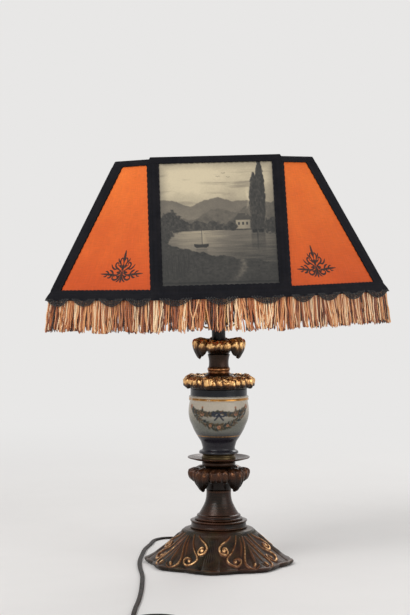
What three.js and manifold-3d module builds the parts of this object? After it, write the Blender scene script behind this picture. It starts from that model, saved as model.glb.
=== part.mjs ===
// Lithophane lamp: a bronze and porcelain table lamp under a six-sided fringed shade.
// Millimetres, +Z up, front at -Y. The origin is on the base's axis, on the table.
// The castings stand upright. The stem above them leans a little to the left, and
// carries the socket, the harp, the bulb and the shade.
import * as THREE from "three";
import Module from "manifold-3d";
import { mergeVertices } from "three/addons/utils/BufferGeometryUtils.js";

const wasm = await Module();
wasm.setup();

const degree = Math.PI / 180;
const turn = 2 * Math.PI;
const { lerp } = THREE.MathUtils;

// Fits and the lean of the upper half
const fit = 0.3;
const leanAngle = 1.55 * degree;
const shadeAngle = 2 * degree;
const footAngle = -7 * degree;

// Centre pipe, on which every casting is threaded
const pipeRadius = 5;
const pipeBoreRadius = 3.4;
const pipeBelowNut = 3;
const castingBore = pipeRadius + fit;

// Foot casting
const footHeight = 45;
const footRimLift = 0.4;
const footRimHeight = 4.6;
const footRimWidth = 4;
const footShoulderRadius = 44;
const footTopRadius = 40;
const footTipRadius = 95.5;
const footLeafInset = 1.6;
const footValleyInset = 7.2;
const footLeafRadius = footTipRadius - footLeafInset;
const footValleyRadius = footTipRadius - footValleyInset;
const footGrooveDepth = 2.2;
const footTongueDepth = 1.2;
const footWall = 5;
const footBossRadius = 21;
const padThickness = 2;
const padLedgeWidth = 7;
const footTopDrop = 1;
const footSweep = 1.2;
const footSwellShare = 1.15;
const footTongueSharpness = 6;
const footSectorCount = 4;
const footSteps = 48;
const scrollHalfWidth = 1.7;
const scrollRise = 1.5;
const scrollSink = 0.9;
const scrollSteps = 6;

// Nut and washer under the foot's top plate
const washerRadius = 16;
const washerThickness = 2;
const nutRadius = 9;
const nutThickness = 5;
const nutSides = 6;

// Turned and cast pieces of the column, from the foot up
const collarRadius = 36.1;
const collarWaistRadius = 34.8;
const collarHeight = 10.4;
const columnBaseRadius = 30.6;
const columnNeckRadius = 15.6;
const columnHeight = 37.6;
const capitalRadius = 38.9;
const capitalBodyRadius = 16;
const capitalHeight = 28.4;
const capitalSeatDepth = 4;
const capitalLeafCount = 8;
const capitalLeafSteps = 5;
const capitalLeafSharpness = 0.8;
const hubRadius = 21.3;
const hubHeight = 11.6;
const plateRadius = 39.6;
const plateRise = 4.4;
const plateThickness = 1.4;
const seatRingRadius = 21.6;
const seatRingHeight = 8;
const urnBellyRadius = 38.4;
const urnWaistRadius = 20.3;
const urnHeight = 81.6;
const urnWall = 4;
const capRadius = 45.2;
const capSeatRadius = 35.4;
const capHeight = 17.4;
const capTopDepth = 3.6;
const capLobeCount = 16;
const capLobeSteps = 3;
const capLobeSharpness = 0.7;
const neckDiscRadius = 17.7;
const neckRadius = 12.9;
const neckHeight = 29.4;
const crownRadius = 34.7;
const crownBodyRadius = 13;
const crownHeight = 20.8;
const crownSeatDepth = 4.2;
const crownLeafCount = 6;
const crownLeafSteps = 6;
const crownLeafSharpness = 0.75;

// Stem, socket and bulb, above the lean's pivot
const stemRadius = 8.6;
const stemHeight = 15;
const nippleRadius = 5;
const nippleBoreRadius = 3.4;
const nippleIntoCap = 9;
const saddleThickness = 1.8;
const saddleWidth = 10;
const saddleEyeRadius = 10;
const saddleRise = 17;
const harpFootSpread = 27;
const harpPostLength = 7;
const socketCapRadius = 18.6;
const socketCapHeight = 18;
const socketShellRadius = 17.2;
const socketShellWall = 1;
const socketShellHeight = 35;
const socketCoreHeight = 14;
const screwShellRadius = 14.4;
const screwShellWall = 0.6;
const screwShellHeight = 19;
const keyHeight = 8;
const keyShaftRadius = 2;
const keyReach = 12;
const keyPaddleWidth = 15;
const keyPaddleHeight = 9;
const keyPaddleThickness = 3;
const keyDepth = 7;
const bulbBaseRadius = 13.2;
const bulbBaseHeight = 25;
const bulbTipRadius = 4.5;
const bulbTipHeight = 3;
const bulbRadius = 30;
const bulbGlassHeight = 84;
const bulbGlassWall = 1.2;

// Harp and finial
const harpWireRadius = 1.6;
const harpHeight = 165;
const harpHalfWidth = 53;
const harpTopHalfWidth = 14;
const harpPlateRadius = 8;
const harpPlateThickness = 2;
const harpStudRadius = 3;
const harpStudLength = 13;
const harpSteps = 34;
const sleeveWall = 1.2;
const sleeveLength = 14;
const harpStraight = 42;
const finialRadius = 7.4;
const finialHeight = 17;
const finialBoreDepth = 11;
const finialPlay = 0.6;

// Shade: six flat sides, measured over the tapes
const shadeTopHeight = 512.5;
const shadeBottomHeight = 342.5;
const shadeCornerX = 82;
const shadeTopHalfDepth = 38;
const shadeBottomHalfDepth = 118;
const shadeBottomHalfWidth = 216;
const shadeSides = 6;
const tapeThickness = 1;
const topTapeHeight = 9.5;
const bottomTapeHeight = 10;
const frontTapeRise = 2.5;
const frontBottomTapeHeight = 14;
const frontCornerTape = 12;
const sideCornerTape = 6;
const vertexCornerTape = 17;
const cornerStep = 0.6;
const lithophaneThickness = 2.4;
const amberThickness = 1.6;
const panelEdgeGap = 2.6;
const panelEndGap = 1.2;
const ringWireRadius = 1.6;
const ribWireRadius = 1.3;
const ringInset = 6.2;
const ringSetback = 3.2;
const spiderHubRadius = 11;
const spiderHubThickness = 2;
const spiderArmRadius = 1.4;
const spiderArmDrop = 1;

// Fringe and the tape's lip over it
const fringeDrop = 44.5;
const fringeThickness = 2.6;
const fringeFlare = 3.4;
const fringeSlitDepth = 33;
const fringeSlitWidth = 1.6;
const fringeStrandWidth = 16;
const lipDrop = 5.2;
const lipThickness = 1.2;

// Flat two-core lead, its bushing, its coil and its plug
const leadLength = 1800;
const leadWidth = 5.4;
const leadThickness = 2.8;
const leadWaist = 1.9;
const leadLift = 0.3;
const bushingHeight = 6.2;
const bushingBarrelRadius = 3.5;
const bushingBoreRadius = 2.9;
const bushingFlangeRadius = 4.9;
const bushingFlange = 2;
const bushingBarrelLength = 11;
const coilTurns = 7.25;
const coilLayers = 4;
const coilTurnPitch = 6.3;
const coilLayerPitch = 3.5;
const coilEndStraight = 5.4;
const coilTailLength = 26;
const coilStepsPerTurn = 16;
const leadSteps = 46;
const plugLength = 30;
const plugWidth = 25;
const plugThickness = 14;
const plugNeckShare = 0.42;
const plugSlimShare = 0.67;
const coilLook = 0.5 * degree;
const bladeLength = 16;
const bladeWidth = 6.35;
const bladeThickness = 1.5;
const bladeSpacing = 12.7;

// How round things are
const wideSegments = 28;
const hiddenSegments = 16;
const wireSides = 8;

// Heights of the stack on the pipe, each piece a fit above the last
const collarBottom = footHeight + fit;
const columnBottom = collarBottom + collarHeight + fit;
const capitalBottom = columnBottom + columnHeight + fit;
const hubBottom = capitalBottom + capitalHeight - capitalSeatDepth + fit;
const plateBottom = hubBottom + hubHeight + fit;
const seatRingBottom = plateBottom + plateThickness + fit;
const urnBottom = seatRingBottom + seatRingHeight + fit;
const capBottom = urnBottom + urnHeight + fit;
const neckBottom = capBottom + capHeight - capTopDepth + fit;
const crownBottom = neckBottom + neckHeight + fit;
const crownSeat = crownBottom + crownHeight - crownSeatDepth;
const pivotHeight = crownSeat + fit + stemRadius * Math.sin(leanAngle);

// Heights above the pivot in the leaning half
const saddleBottom = stemHeight + fit;
const socketCapBottom = saddleBottom + saddleThickness + fit;
const socketShellBottom = socketCapBottom + socketCapHeight + fit;
const socketCoreBottom = socketShellBottom;
const screwShellBottom = socketCoreBottom + socketCoreHeight + fit;
const bulbBottom = socketCoreBottom + socketCoreHeight + fit;
const bulbGlassBottom = bulbBottom + bulbTipHeight + bulbBaseHeight + fit;
const harpPostTop = saddleBottom + saddleRise + saddleThickness + harpPostLength;
const harpBottom = harpPostTop + fit;
const harpTop = harpBottom + harpHeight;
const harpPlateBottom = harpTop + harpWireRadius - harpPlateThickness;
const spiderBottom = harpPlateBottom + harpPlateThickness + fit;
const finialBottom = spiderBottom + spiderHubThickness + finialPlay;

// Materials
function finish(color, roughness, metalness, more = {}) {
  return new THREE.MeshStandardMaterial({ color, roughness, metalness, ...more });
}
const bronze = finish(0x5a4526, 0.45, 0.9);
const gilt = finish(0xb07a35, 0.35, 1);
const porcelain = finish(0xaeb4b4, 0.15, 0);
const brass = finish(0xa58342, 0.3, 1);
const blackMetal = finish(0x1c1a18, 0.5, 0.6);
const steel = finish(0x8f8f8c, 0.4, 1);
const felt = finish(0x2f3a2c, 0.95, 0);
const leadBrown = finish(0x4a3223, 0.5, 0);
const plugBrown = finish(0x3a2820, 0.5, 0);
const bakelite = finish(0x17130f, 0.4, 0);
const bulbGlass = finish(0xf4efe6, 0.2, 0, { transparent: true, opacity: 0.6 });
const bisque = finish(0x8d8a84, 0.6, 0);
const amber = finish(0xc86a28, 0.6, 0);
const tape = finish(0x14151c, 0.95, 0);
const satin = finish(0xc08a5c, 0.5, 0);

// Closed geometry and joining

function outward(geometry) {
  // Turns every face round if the closed surface faces in.
  const position = geometry.attributes.position;
  const index = geometry.index;
  const count = index ? index.count : position.count;
  const at = (k) => new THREE.Vector3().fromBufferAttribute(position, index ? index.getX(k) : k);
  let volume = 0;
  for (let k = 0; k < count; k += 3) {
    volume += at(k).dot(at(k + 1).cross(at(k + 2)));
  }
  if (volume > 0) return geometry;
  const faces = [];
  for (let k = 0; k < count; k += 3) {
    const corners = [k, k + 2, k + 1];
    for (const corner of corners) faces.push(index ? index.getX(corner) : corner);
  }
  geometry.setIndex(faces);
  return geometry;
}

function skin(rings, endless) {
  // A closed surface over rings of as many points each. An endless one joins its last
  // ring to its first; otherwise each end is closed by strips across its ring.
  const width = rings[0].length;
  const points = rings.flat().flatMap((point) => [point.x, point.y, point.z]);
  const faces = [];
  const links = endless ? rings.length : rings.length - 1;
  for (let i = 0; i < links; i += 1) {
    const here = i * width;
    const next = ((i + 1) % rings.length) * width;
    for (let j = 0; j < width; j += 1) {
      const k = (j + 1) % width;
      faces.push(here + j, next + j, next + k, here + j, next + k, here + k);
    }
  }
  if (!endless) {
    const last = (rings.length - 1) * width;
    for (let a = 0; a + 1 <= width - 2 - a; a += 1) {
      const [b, c, d] = [a + 1, width - 2 - a, width - 1 - a];
      faces.push(a, b, d, last + a, last + d, last + b);
      if (b < c) faces.push(b, c, d, last + b, last + d, last + c);
    }
  }
  const geometry = new THREE.BufferGeometry();
  geometry.setAttribute("position", new THREE.Float32BufferAttribute(points, 3));
  geometry.setIndex(faces);
  return outward(geometry);
}

function solid(geometry) {
  const bare = geometry.clone();
  bare.deleteAttribute("normal");
  bare.deleteAttribute("uv");
  const merged = mergeVertices(bare);
  return new wasm.Manifold(
    new wasm.Mesh({
      numProp: 3,
      vertProperties: merged.attributes.position.array,
      triVerts: new Uint32Array(merged.index.array),
    }),
  );
}

function surface(body) {
  const mesh = body.getMesh();
  const geometry = new THREE.BufferGeometry();
  geometry.setAttribute("position", new THREE.BufferAttribute(mesh.vertProperties, 3));
  geometry.setIndex(new THREE.BufferAttribute(mesh.triVerts, 1));
  return geometry;
}

function piece(name, geometry, material) {
  const mesh = new THREE.Mesh(geometry, material);
  mesh.name = name;
  return mesh;
}

// Turned pieces

function turned(profile, segments) {
  // profile holds [radius, height] pairs and starts and ends on the axis, or closes.
  const points = profile.map(([radius, height]) => new THREE.Vector2(radius, height));
  return outward(new THREE.LatheGeometry(points, segments).rotateX(turn / 4));
}

function bored(outline, bore, segments) {
  // A turned piece with a straight hole, from its outline read from the bottom up.
  const bottom = outline[0][1];
  const top = outline[outline.length - 1][1];
  return turned([[bore, bottom], ...outline, [bore, top], [bore, bottom]], segments);
}

function outlineOf(shares, narrow, wide, bottom, height) {
  // Shares of the way from the narrow to the wide radius, and of the height.
  return shares.map(([out, up]) => [lerp(narrow, wide, out), bottom + height * up]);
}

function bar(from, to, radius, sides) {
  // A straight round rod between two points.
  const along = to.clone().sub(from);
  const geometry = new THREE.CylinderGeometry(radius, radius, along.length(), sides);
  const up = new THREE.Vector3(0, 1, 0);
  geometry.applyQuaternion(new THREE.Quaternion().setFromUnitVectors(up, along.clone().normalize()));
  const middle = from.clone().lerp(to, 1 / 2);
  return geometry.translate(middle.x, middle.y, middle.z);
}

function circlePoints(radius) {
  const points = [];
  for (let i = 0; i < wireSides; i += 1) {
    const angle = (turn * i) / wireSides;
    points.push(new THREE.Vector2(radius * Math.cos(angle), radius * Math.sin(angle)));
  }
  return points;
}

function disc(radius, thickness, bottom, segments) {
  return bored([[radius, bottom], [radius, bottom + thickness]], castingBore, segments);
}

// Foot casting

function footSector(angle) {
  // 1 in the middle of a scroll cartouche and -1 in the middle of a leaf.
  return Math.cos(footSectorCount * (angle - footAngle + turn / 4));
}

function footRim(angle) {
  // The lobed rim: wide at each cartouche and leaf, drawn in between them.
  const sector = footSector(angle);
  const lobe = 2 * sector * sector - 1;
  const wide = (footTipRadius + footLeafRadius) / 2;
  const mean = (wide + footValleyRadius) / 2;
  return mean + (wide - mean) * lobe + ((footTipRadius - footLeafRadius) / 2) * sector;
}

function footSurface(angle, share) {
  // The top's height, from the shoulder (share 0) to the rim (share 1).
  const fall = (1 - share) ** footSweep;
  const swell = Math.sin(Math.PI * Math.min(1, share * footSwellShare));
  const sector = footSector(angle);
  const groove = footGrooveDepth * (1 - sector * sector) * swell;
  const tongue = footTongueDepth * Math.max(0, sector) ** footTongueSharpness * swell;
  return footRimHeight + (footHeight - footTopDrop - footRimHeight) * fall - groove - tongue;
}

function footSection(angle) {
  // The casting's outer skin from the bore out to the rim and back along the table.
  const rim = footRim(angle);
  const topShares = [0, 0.14, 0.28, 0.42, 0.56, 0.7, 0.86, 1];
  const outline = [
    [castingBore, footHeight],
    [footTopRadius, footHeight],
    ...topShares.map((share) => [lerp(footShoulderRadius, rim, share), footSurface(angle, share)]),
    [rim - footRimWidth / 4, footRimLift],
    [castingBore, footRimLift],
  ];
  const [across, along] = [Math.cos(angle), Math.sin(angle)];
  return outline.map(([r, z]) => new THREE.Vector3(r * across, r * along, z));
}

function padRadius() {
  return footValleyRadius - footRimWidth - 2 * fit;
}

function footCavity() {
  // The hollow underneath: a recess for the pad, its ledge, and a wall's depth under the
  // lowest creases of the top.
  const creaseAngle = footAngle + turn / (4 * footSectorCount);
  const heightAt = (share) => footSurface(creaseAngle, share) - footWall;
  const recess = padRadius() + fit;
  const ledge = recess - padLedgeWidth;
  const ledgeShare = (ledge - footShoulderRadius) / (footValleyRadius - footShoulderRadius);
  const radiusAt = (share) => lerp(footShoulderRadius, ledge, share / ledgeShare);
  const shares = [0.72, 0.5, 0.28, 0].map((share) => share * ledgeShare);
  const roof = footHeight - footWall;
  return turned(
    [
      [0, -footWall], [recess, -footWall], [recess, padThickness + fit],
      [ledge, padThickness + fit], [ledge, heightAt(ledgeShare)],
      ...shares.map((share) => [radiusAt(share) - footWall / 2, heightAt(share)]),
      [footBossRadius, roof], [0, roof],
    ],
    wideSegments,
  );
}

function bushingSeat() {
  // How far back the bushing's flange lies, clear of the rim on both sides of it.
  const spread = Math.asin(bushingFlangeRadius / footTipRadius);
  const angles = [-1, -1 / 2, 0, 1 / 2, 1].map((share) => turn / 4 + share * spread);
  return fit + Math.max(...angles.map((angle) => footRim(angle) * Math.sin(angle)));
}

// A scroll's middle line: degrees from the middle of its cartouche, then its share of the
// way from the shoulder to the rim. Each is mirrored, and every cartouche has both.
const scrollShares = [
  [[31, 0.1], [23, 0.34], [16.4, 0.5], [15.2, 0.62], [21, 0.71], [27.4, 0.65], [25, 0.57]],
  [[41.6, 0.12], [37, 0.36], [32.4, 0.6], [32.6, 0.8], [37, 0.87], [41, 0.84]],
];

function footPlace(angle, share) {
  const radius = lerp(footShoulderRadius, footRim(angle), share);
  return new THREE.Vector3(radius * Math.cos(angle), radius * Math.sin(angle), footSurface(angle, share));
}

function scroll(shares, mirror, cartouche) {
  // A ridge of three sides along the casting's face, thin at its ends and sunk in below.
  const middle = footAngle - turn / 4 + (cartouche * turn) / footSectorCount;
  const line = new THREE.CatmullRomCurve3(shares.map(([off, share]) => (
    footPlace(middle + mirror * off * degree, share)
  )));
  const rings = [];
  for (let i = 0; i <= scrollSteps; i += 1) {
    const at = line.getPoint(i / scrollSteps);
    const along = line.getTangent(i / scrollSteps);
    const across = along.clone().cross(new THREE.Vector3(at.x, at.y, Math.hypot(at.x, at.y))).normalize();
    const out = across.clone().cross(along).normalize();
    const full = lerp(1 / 2, 1, Math.sin((Math.PI * i) / scrollSteps));
    const corner = (side, up) => at.clone().addScaledVector(across, side).addScaledVector(out, up);
    rings.push([
      corner(-scrollHalfWidth * full, -scrollSink),
      corner(scrollHalfWidth * full, -scrollSink),
      corner(0, scrollRise * full),
    ]);
  }
  return solid(skin(rings, false));
}

function scrolls() {
  const all = [];
  for (let cartouche = 0; cartouche < footSectorCount; cartouche += 1) {
    for (const shares of scrollShares) {
      all.push(scroll(shares, 1, cartouche), scroll(shares, -1, cartouche));
    }
  }
  return all;
}

function footCasting() {
  const sections = [];
  for (let i = 0; i < footSteps; i += 1) sections.push(footSection((turn * i) / footSteps));
  const hole = bar(
    new THREE.Vector3(0, footShoulderRadius, bushingHeight),
    new THREE.Vector3(0, footTipRadius + footRimWidth, bushingHeight),
    bushingBarrelRadius + fit,
    hiddenSegments,
  );
  const carved = wasm.Manifold.union([solid(skin(sections, true)), ...scrolls()]);
  return surface(carved.subtract(solid(footCavity())).subtract(solid(hole)));
}

function feltPad() {
  const radius = padRadius();
  return turned([[0, 0], [radius, 0], [radius, padThickness], [0, padThickness]], wideSegments);
}

function nut() {
  const top = footHeight - footWall - washerThickness - 2 * fit;
  const low = new THREE.Vector3(0, 0, top - nutThickness);
  const high = new THREE.Vector3(0, 0, top);
  const hexagon = solid(bar(low, high, nutRadius, nutSides));
  low.z -= nutThickness;
  high.z += nutThickness;
  return surface(hexagon.subtract(solid(bar(low, high, castingBore, hiddenSegments))));
}

// Turned pieces of the column

function collar() {
  const shares = [[1, 0], [1, 0.22], [0, 0.42], [0, 0.68], [1, 0.84], [1, 1]];
  const outline = outlineOf(shares, collarWaistRadius, collarRadius, collarBottom, collarHeight);
  return bored(outline, castingBore, wideSegments);
}

function column() {
  const shares = [
    [1, 0], [0.98, 0.06], [0.84, 0.1], [0.78, 0.16], [0.64, 0.19], [0.46, 0.32],
    [0.27, 0.42], [0.11, 0.56], [0, 0.78], [0.02, 1],
  ];
  const outline = outlineOf(shares, columnNeckRadius, columnBaseRadius, columnBottom, columnHeight);
  return bored(outline, castingBore, wideSegments);
}

function plateHub() {
  const shares = [[0.8, 0], [0.8, 0.3], [1, 0.56], [1, 0.86], [0.92, 1]];
  return bored(outlineOf(shares, 0, hubRadius, hubBottom, hubHeight), castingBore, wideSegments);
}

function dripPlate() {
  // A thin dish: flat under the seat ring, then rising to its rim.
  const flat = seatRingRadius + fit;
  const shares = [[0, 0], [0.5, 0.32], [1, 1]];
  const under = outlineOf(shares, flat, plateRadius, plateBottom, plateRise - plateThickness / 2);
  const over = under.map(([r, z]) => [r, z + plateThickness]).reverse();
  const middle = [
    [castingBore, plateBottom + plateThickness],
    [castingBore, plateBottom],
  ];
  return turned([middle[1], ...under, ...over, ...middle], wideSegments);
}

function seatRing() {
  const shares = [[1, 0], [1, 0.42], [0.93, 0.6], [0.98, 1]];
  const outline = outlineOf(shares, 0, seatRingRadius, seatRingBottom, seatRingHeight);
  return bored(outline, castingBore, wideSegments);
}

function urn() {
  // Radius shares run from the waist to the belly.
  const outShares = [
    [0.26, 0], [0.24, 0.03], [0.02, 0.08], [0.14, 0.18], [0.48, 0.3], [0.76, 0.43],
    [0.96, 0.55], [1, 0.64], [0.97, 0.74], [0.92, 0.81], [0.96, 0.84], [0.96, 0.87],
    [0.86, 0.89], [0.86, 1],
  ];
  const outer = outlineOf(outShares, urnWaistRadius, urnBellyRadius, urnBottom, urnHeight);
  const floor = urnBottom + urnWall;
  const innerShares = [[0.86, 1], [0.86, 0.82], [1, 0.64], [0.76, 0.43], [0.3, 0.24]];
  const inner = outlineOf(
    innerShares, urnWaistRadius - urnWall, urnBellyRadius - urnWall, urnBottom, urnHeight,
  );
  const middle = [
    [castingBore, floor],
    [castingBore, urnBottom],
  ];
  const well = [castingBore + urnWall, floor];
  return turned([middle[1], ...outer, ...inner, well, ...middle], wideSegments);
}

function neck() {
  const shares = [
    [1, 0], [1, 0.09], [0.1, 0.24], [0.28, 0.3], [0.28, 0.38], [0, 0.45], [0, 0.86],
    [0.16, 1],
  ];
  const outline = outlineOf(shares, neckRadius, neckDiscRadius, neckBottom, neckHeight);
  return bored(outline, castingBore, wideSegments);
}

// Leaf castings: a section through a small leaf, one through a large leaf, and one through
// the crease beside them. Small and large leaves take turns, with a small one in front.

function leafCasting(sections, leafCount, stepsPerLeaf, sharpness) {
  // Each section point slides from the crease's place to the leaf's as the angle nears
  // the leaf's middle.
  const [small, large, crease] = sections;
  const rings = [];
  const steps = leafCount * stepsPerLeaf;
  for (let i = 0; i < steps; i += 1) {
    const leaf = i / stepsPerLeaf;
    const angle = leaf * (turn / leafCount) - turn / 4;
    const open = Math.abs(Math.cos(Math.PI * leaf)) ** sharpness;
    const size = (1 - Math.cos(Math.PI * leaf)) / 2;
    const ring = crease.map(([r, z], k) => {
      const radius = lerp(r, lerp(small[k][0], large[k][0], size), open);
      const height = lerp(z, lerp(small[k][1], large[k][1], size), open);
      return new THREE.Vector3(radius * Math.cos(angle), radius * Math.sin(angle), height);
    });
    rings.push(ring);
  }
  return skin(rings, true);
}

function curledSection(shares, body, tip, bottom, height, seatRadius, seatDepth) {
  // A stem section from the bore out, round the leaf and back to the seat on top.
  return [
    [castingBore, bottom],
    [body, bottom],
    ...outlineOf(shares, body, tip, bottom, height),
    [seatRadius, bottom + height - seatDepth],
    [castingBore, bottom + height - seatDepth],
  ];
}

function leafCapital() {
  // Outward under the curl, down to the tip, up the outside and over the crest. A large
  // leaf droops nearly to the casting's foot; a small one is rolled up short.
  const smallShares = [
    [0.02, 0.3], [0.28, 0.68], [0.62, 0.76], [0.74, 0.6], [0.62, 0.46], [0.62, 0.36],
    [0.8, 0.3], [0.97, 0.5], [0.98, 0.72], [0.8, 0.94], [0.44, 1],
  ];
  const largeShares = [
    [0.02, 0.3], [0.28, 0.7], [0.66, 0.76], [0.78, 0.5], [0.52, 0.14], [0.48, 0.02],
    [0.76, 0.06], [0.96, 0.38], [0.98, 0.7], [0.8, 0.94], [0.44, 1],
  ];
  const creaseShares = [
    [0.02, 0.3], [0.26, 0.6], [0.44, 0.66], [0.52, 0.56], [0.48, 0.46], [0.48, 0.42],
    [0.58, 0.44], [0.66, 0.54], [0.68, 0.66], [0.6, 0.8], [0.4, 0.88],
  ];
  const sections = [smallShares, largeShares, creaseShares].map((shares) => curledSection(
    shares, capitalBodyRadius, capitalRadius, capitalBottom, capitalHeight, hubRadius + fit,
    capitalSeatDepth,
  ));
  return leafCasting(sections, capitalLeafCount, capitalLeafSteps, capitalLeafSharpness);
}

function leafCrown() {
  const smallShares = [
    [0.12, 0.18], [0.38, 0.5], [0.66, 0.56], [0.78, 0.36], [0.66, 0.1], [0.78, 0.04],
    [0.97, 0.3], [0.98, 0.62], [0.78, 0.9], [0.4, 0.96],
  ];
  const largeShares = [
    [0.12, 0.18], [0.38, 0.5], [0.68, 0.54], [0.8, 0.24], [0.64, -0.16], [0.8, -0.16],
    [0.97, 0.2], [1, 0.6], [0.8, 0.94], [0.4, 1],
  ];
  const creaseShares = [
    [0.1, 0.18], [0.26, 0.36], [0.38, 0.42], [0.42, 0.34], [0.4, 0.24], [0.46, 0.22],
    [0.54, 0.34], [0.54, 0.5], [0.46, 0.66], [0.26, 0.8],
  ];
  const sections = [smallShares, largeShares, creaseShares].map((shares) => curledSection(
    shares, crownBodyRadius, crownRadius, crownBottom, crownHeight, stemRadius + 2 * fit,
    crownSeatDepth,
  ));
  return leafCasting(sections, crownLeafCount, crownLeafSteps, crownLeafSharpness);
}

function urnCap() {
  // A gadrooned rim: each lobe rolls out over the urn's edge, one a little more than the next.
  const smallShares = [
    [0.2, 0.14], [0.64, 0.16], [0.94, 0.38], [0.9, 0.64], [0.44, 0.96], [-0.2, 0.95], [-0.8, 0.8],
  ];
  const largeShares = [
    [0.2, 0.12], [0.72, 0.06], [1, 0.34], [0.95, 0.66], [0.46, 0.99], [-0.2, 0.97], [-0.8, 0.8],
  ];
  const creaseShares = [
    [0.2, 0.16], [0.5, 0.26], [0.64, 0.4], [0.58, 0.62], [0.2, 0.86], [-0.2, 0.88], [-0.8, 0.8],
  ];
  const top = capBottom + capHeight - capTopDepth;
  const sections = [smallShares, largeShares, creaseShares].map((shares) => [
    [castingBore, capBottom],
    [capSeatRadius, capBottom],
    ...outlineOf(shares, capSeatRadius, capRadius, capBottom, capHeight),
    [neckDiscRadius, top],
    [castingBore, top],
  ]);
  return leafCasting(sections, capLobeCount, capLobeSteps, capLobeSharpness);
}

function centrePipe() {
  const bottom = footHeight - footWall - washerThickness - nutThickness - 2 * fit - pipeBelowNut;
  const top = pivotHeight - fit - nippleRadius * Math.sin(leanAngle);
  return bored([[pipeRadius, bottom], [pipeRadius, top]], pipeBoreRadius, hiddenSegments);
}

// Stem and socket

function saddle() {
  // A bent strip: flat across the stem, then up each side to a post for the harp's foot.
  const t = saddleThickness;
  const x = harpFootSpread;
  const shares = [[-1, 1], [-0.84, 0.3], [-0.6, 0], [0.6, 0], [0.84, 0.3], [1, 1]];
  const middle = shares.map(([across, up]) => new THREE.Vector2(across * x, t / 2 + up * saddleRise));
  const offset = (i, side) => {
    const before = middle[Math.max(0, i - 1)];
    const after = middle[Math.min(middle.length - 1, i + 1)];
    const along = after.clone().sub(before).normalize();
    return middle[i].clone().add(new THREE.Vector2(-along.y, along.x).multiplyScalar((side * t) / 2));
  };
  const upper = middle.map((_, i) => offset(i, 1));
  const lower = middle.map((_, i) => offset(i, -1)).reverse();
  const strip = new THREE.ExtrudeGeometry(new THREE.Shape([...lower, ...upper]), {
    depth: saddleWidth,
    bevelEnabled: false,
  });
  strip.translate(0, 0, -saddleWidth / 2).rotateX(turn / 4);
  const eye = bored([[saddleEyeRadius, 0], [saddleEyeRadius, t]], nippleRadius + fit, hiddenSegments);
  let body = solid(strip);
  for (const side of [-1, 1]) {
    const low = new THREE.Vector3(side * x, 0, saddleRise - t);
    const high = new THREE.Vector3(side * x, 0, saddleRise + t + harpPostLength);
    body = body.add(solid(bar(low, high, harpWireRadius, wireSides)));
  }
  const below = new THREE.Vector3(0, 0, -t);
  const above = new THREE.Vector3(0, 0, 2 * t);
  body = body.subtract(solid(bar(below, above, nippleRadius + fit, hiddenSegments)));
  return surface(body.add(solid(eye)));
}

function socketCap() {
  const shares = [[0.5, 0], [0.62, 0.06], [0.86, 0.3], [0.98, 0.56], [1, 0.62], [1, 1]];
  const outline = outlineOf(shares, 0, socketCapRadius, socketCapBottom, socketCapHeight);
  return bored(outline, nippleRadius + fit, hiddenSegments);
}

function keyHole(depth) {
  // The turn key's hole, straight to the front through the socket.
  const height = socketShellBottom + keyHeight;
  const from = new THREE.Vector3(0, -socketShellRadius - socketShellWall, height);
  return solid(bar(from, new THREE.Vector3(0, -depth, height), keyShaftRadius + fit, hiddenSegments));
}

function socketShell() {
  const outline = [
    [socketShellRadius, socketShellBottom],
    [socketShellRadius, socketShellBottom + socketShellHeight],
  ];
  const tube = bored(outline, socketShellRadius - socketShellWall, hiddenSegments);
  return surface(solid(tube).subtract(keyHole(socketShellRadius / 2)));
}

function socketCore() {
  const radius = socketShellRadius - socketShellWall - fit;
  const top = socketCoreBottom + socketCoreHeight;
  const block = turned(
    [[0, socketCoreBottom], [radius, socketCoreBottom], [radius, top], [0, top]],
    hiddenSegments,
  );
  return surface(solid(block).subtract(keyHole(socketShellRadius - keyDepth - fit)));
}

function screwShell() {
  const outline = [
    [screwShellRadius, screwShellBottom],
    [screwShellRadius, screwShellBottom + screwShellHeight],
  ];
  return bored(outline, screwShellRadius - screwShellWall, hiddenSegments);
}

function switchKey() {
  // A round shaft with a flat oval paddle, pointing to the front.
  const inner = -(socketShellRadius - keyDepth);
  const outer = -(socketShellRadius + keyReach);
  const shaft = bar(
    new THREE.Vector3(0, inner, 0),
    new THREE.Vector3(0, outer + keyPaddleHeight / 2, 0),
    keyShaftRadius,
    hiddenSegments,
  );
  const paddle = new THREE.CylinderGeometry(1, 1, 1, hiddenSegments);
  paddle.scale(keyPaddleWidth / 2, keyPaddleThickness, keyPaddleHeight / 2);
  paddle.rotateX(turn / 4).translate(0, outer + keyPaddleHeight / 2, 0);
  return surface(solid(shaft).add(solid(paddle)));
}

function bulbBase() {
  const shell = bulbBottom + bulbTipHeight;
  const top = shell + bulbBaseHeight;
  const neckBore = bulbBaseRadius - bulbGlassWall;
  const profile = [
    [0, bulbBottom], [bulbTipRadius, bulbBottom], [bulbBaseRadius, shell],
    [bulbBaseRadius, top], [neckBore, top], [neckBore, shell + bulbGlassWall],
    [0, shell + bulbGlassWall],
  ];
  return turned(profile, hiddenSegments);
}

function bulbEnvelope() {
  // A pear: the neck swells into a ball. The wall is open at the neck.
  const shares = [
    [0, 0], [0.08, 0.12], [0.5, 0.34], [0.9, 0.52], [1, 0.66], [0.92, 0.8], [0.56, 0.95],
  ];
  const wallIn = (wall) => outlineOf(
    shares, bulbBaseRadius - wall, bulbRadius - wall, bulbGlassBottom, bulbGlassHeight - wall,
  );
  const outer = wallIn(0);
  const top = bulbGlassBottom + bulbGlassHeight;
  const inner = wallIn(bulbGlassWall).reverse();
  const profile = [...outer, [0, top], [0, top - bulbGlassWall], ...inner, outer[0]];
  return turned(profile, hiddenSegments);
}

// Harp, sleeves and finial

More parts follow.
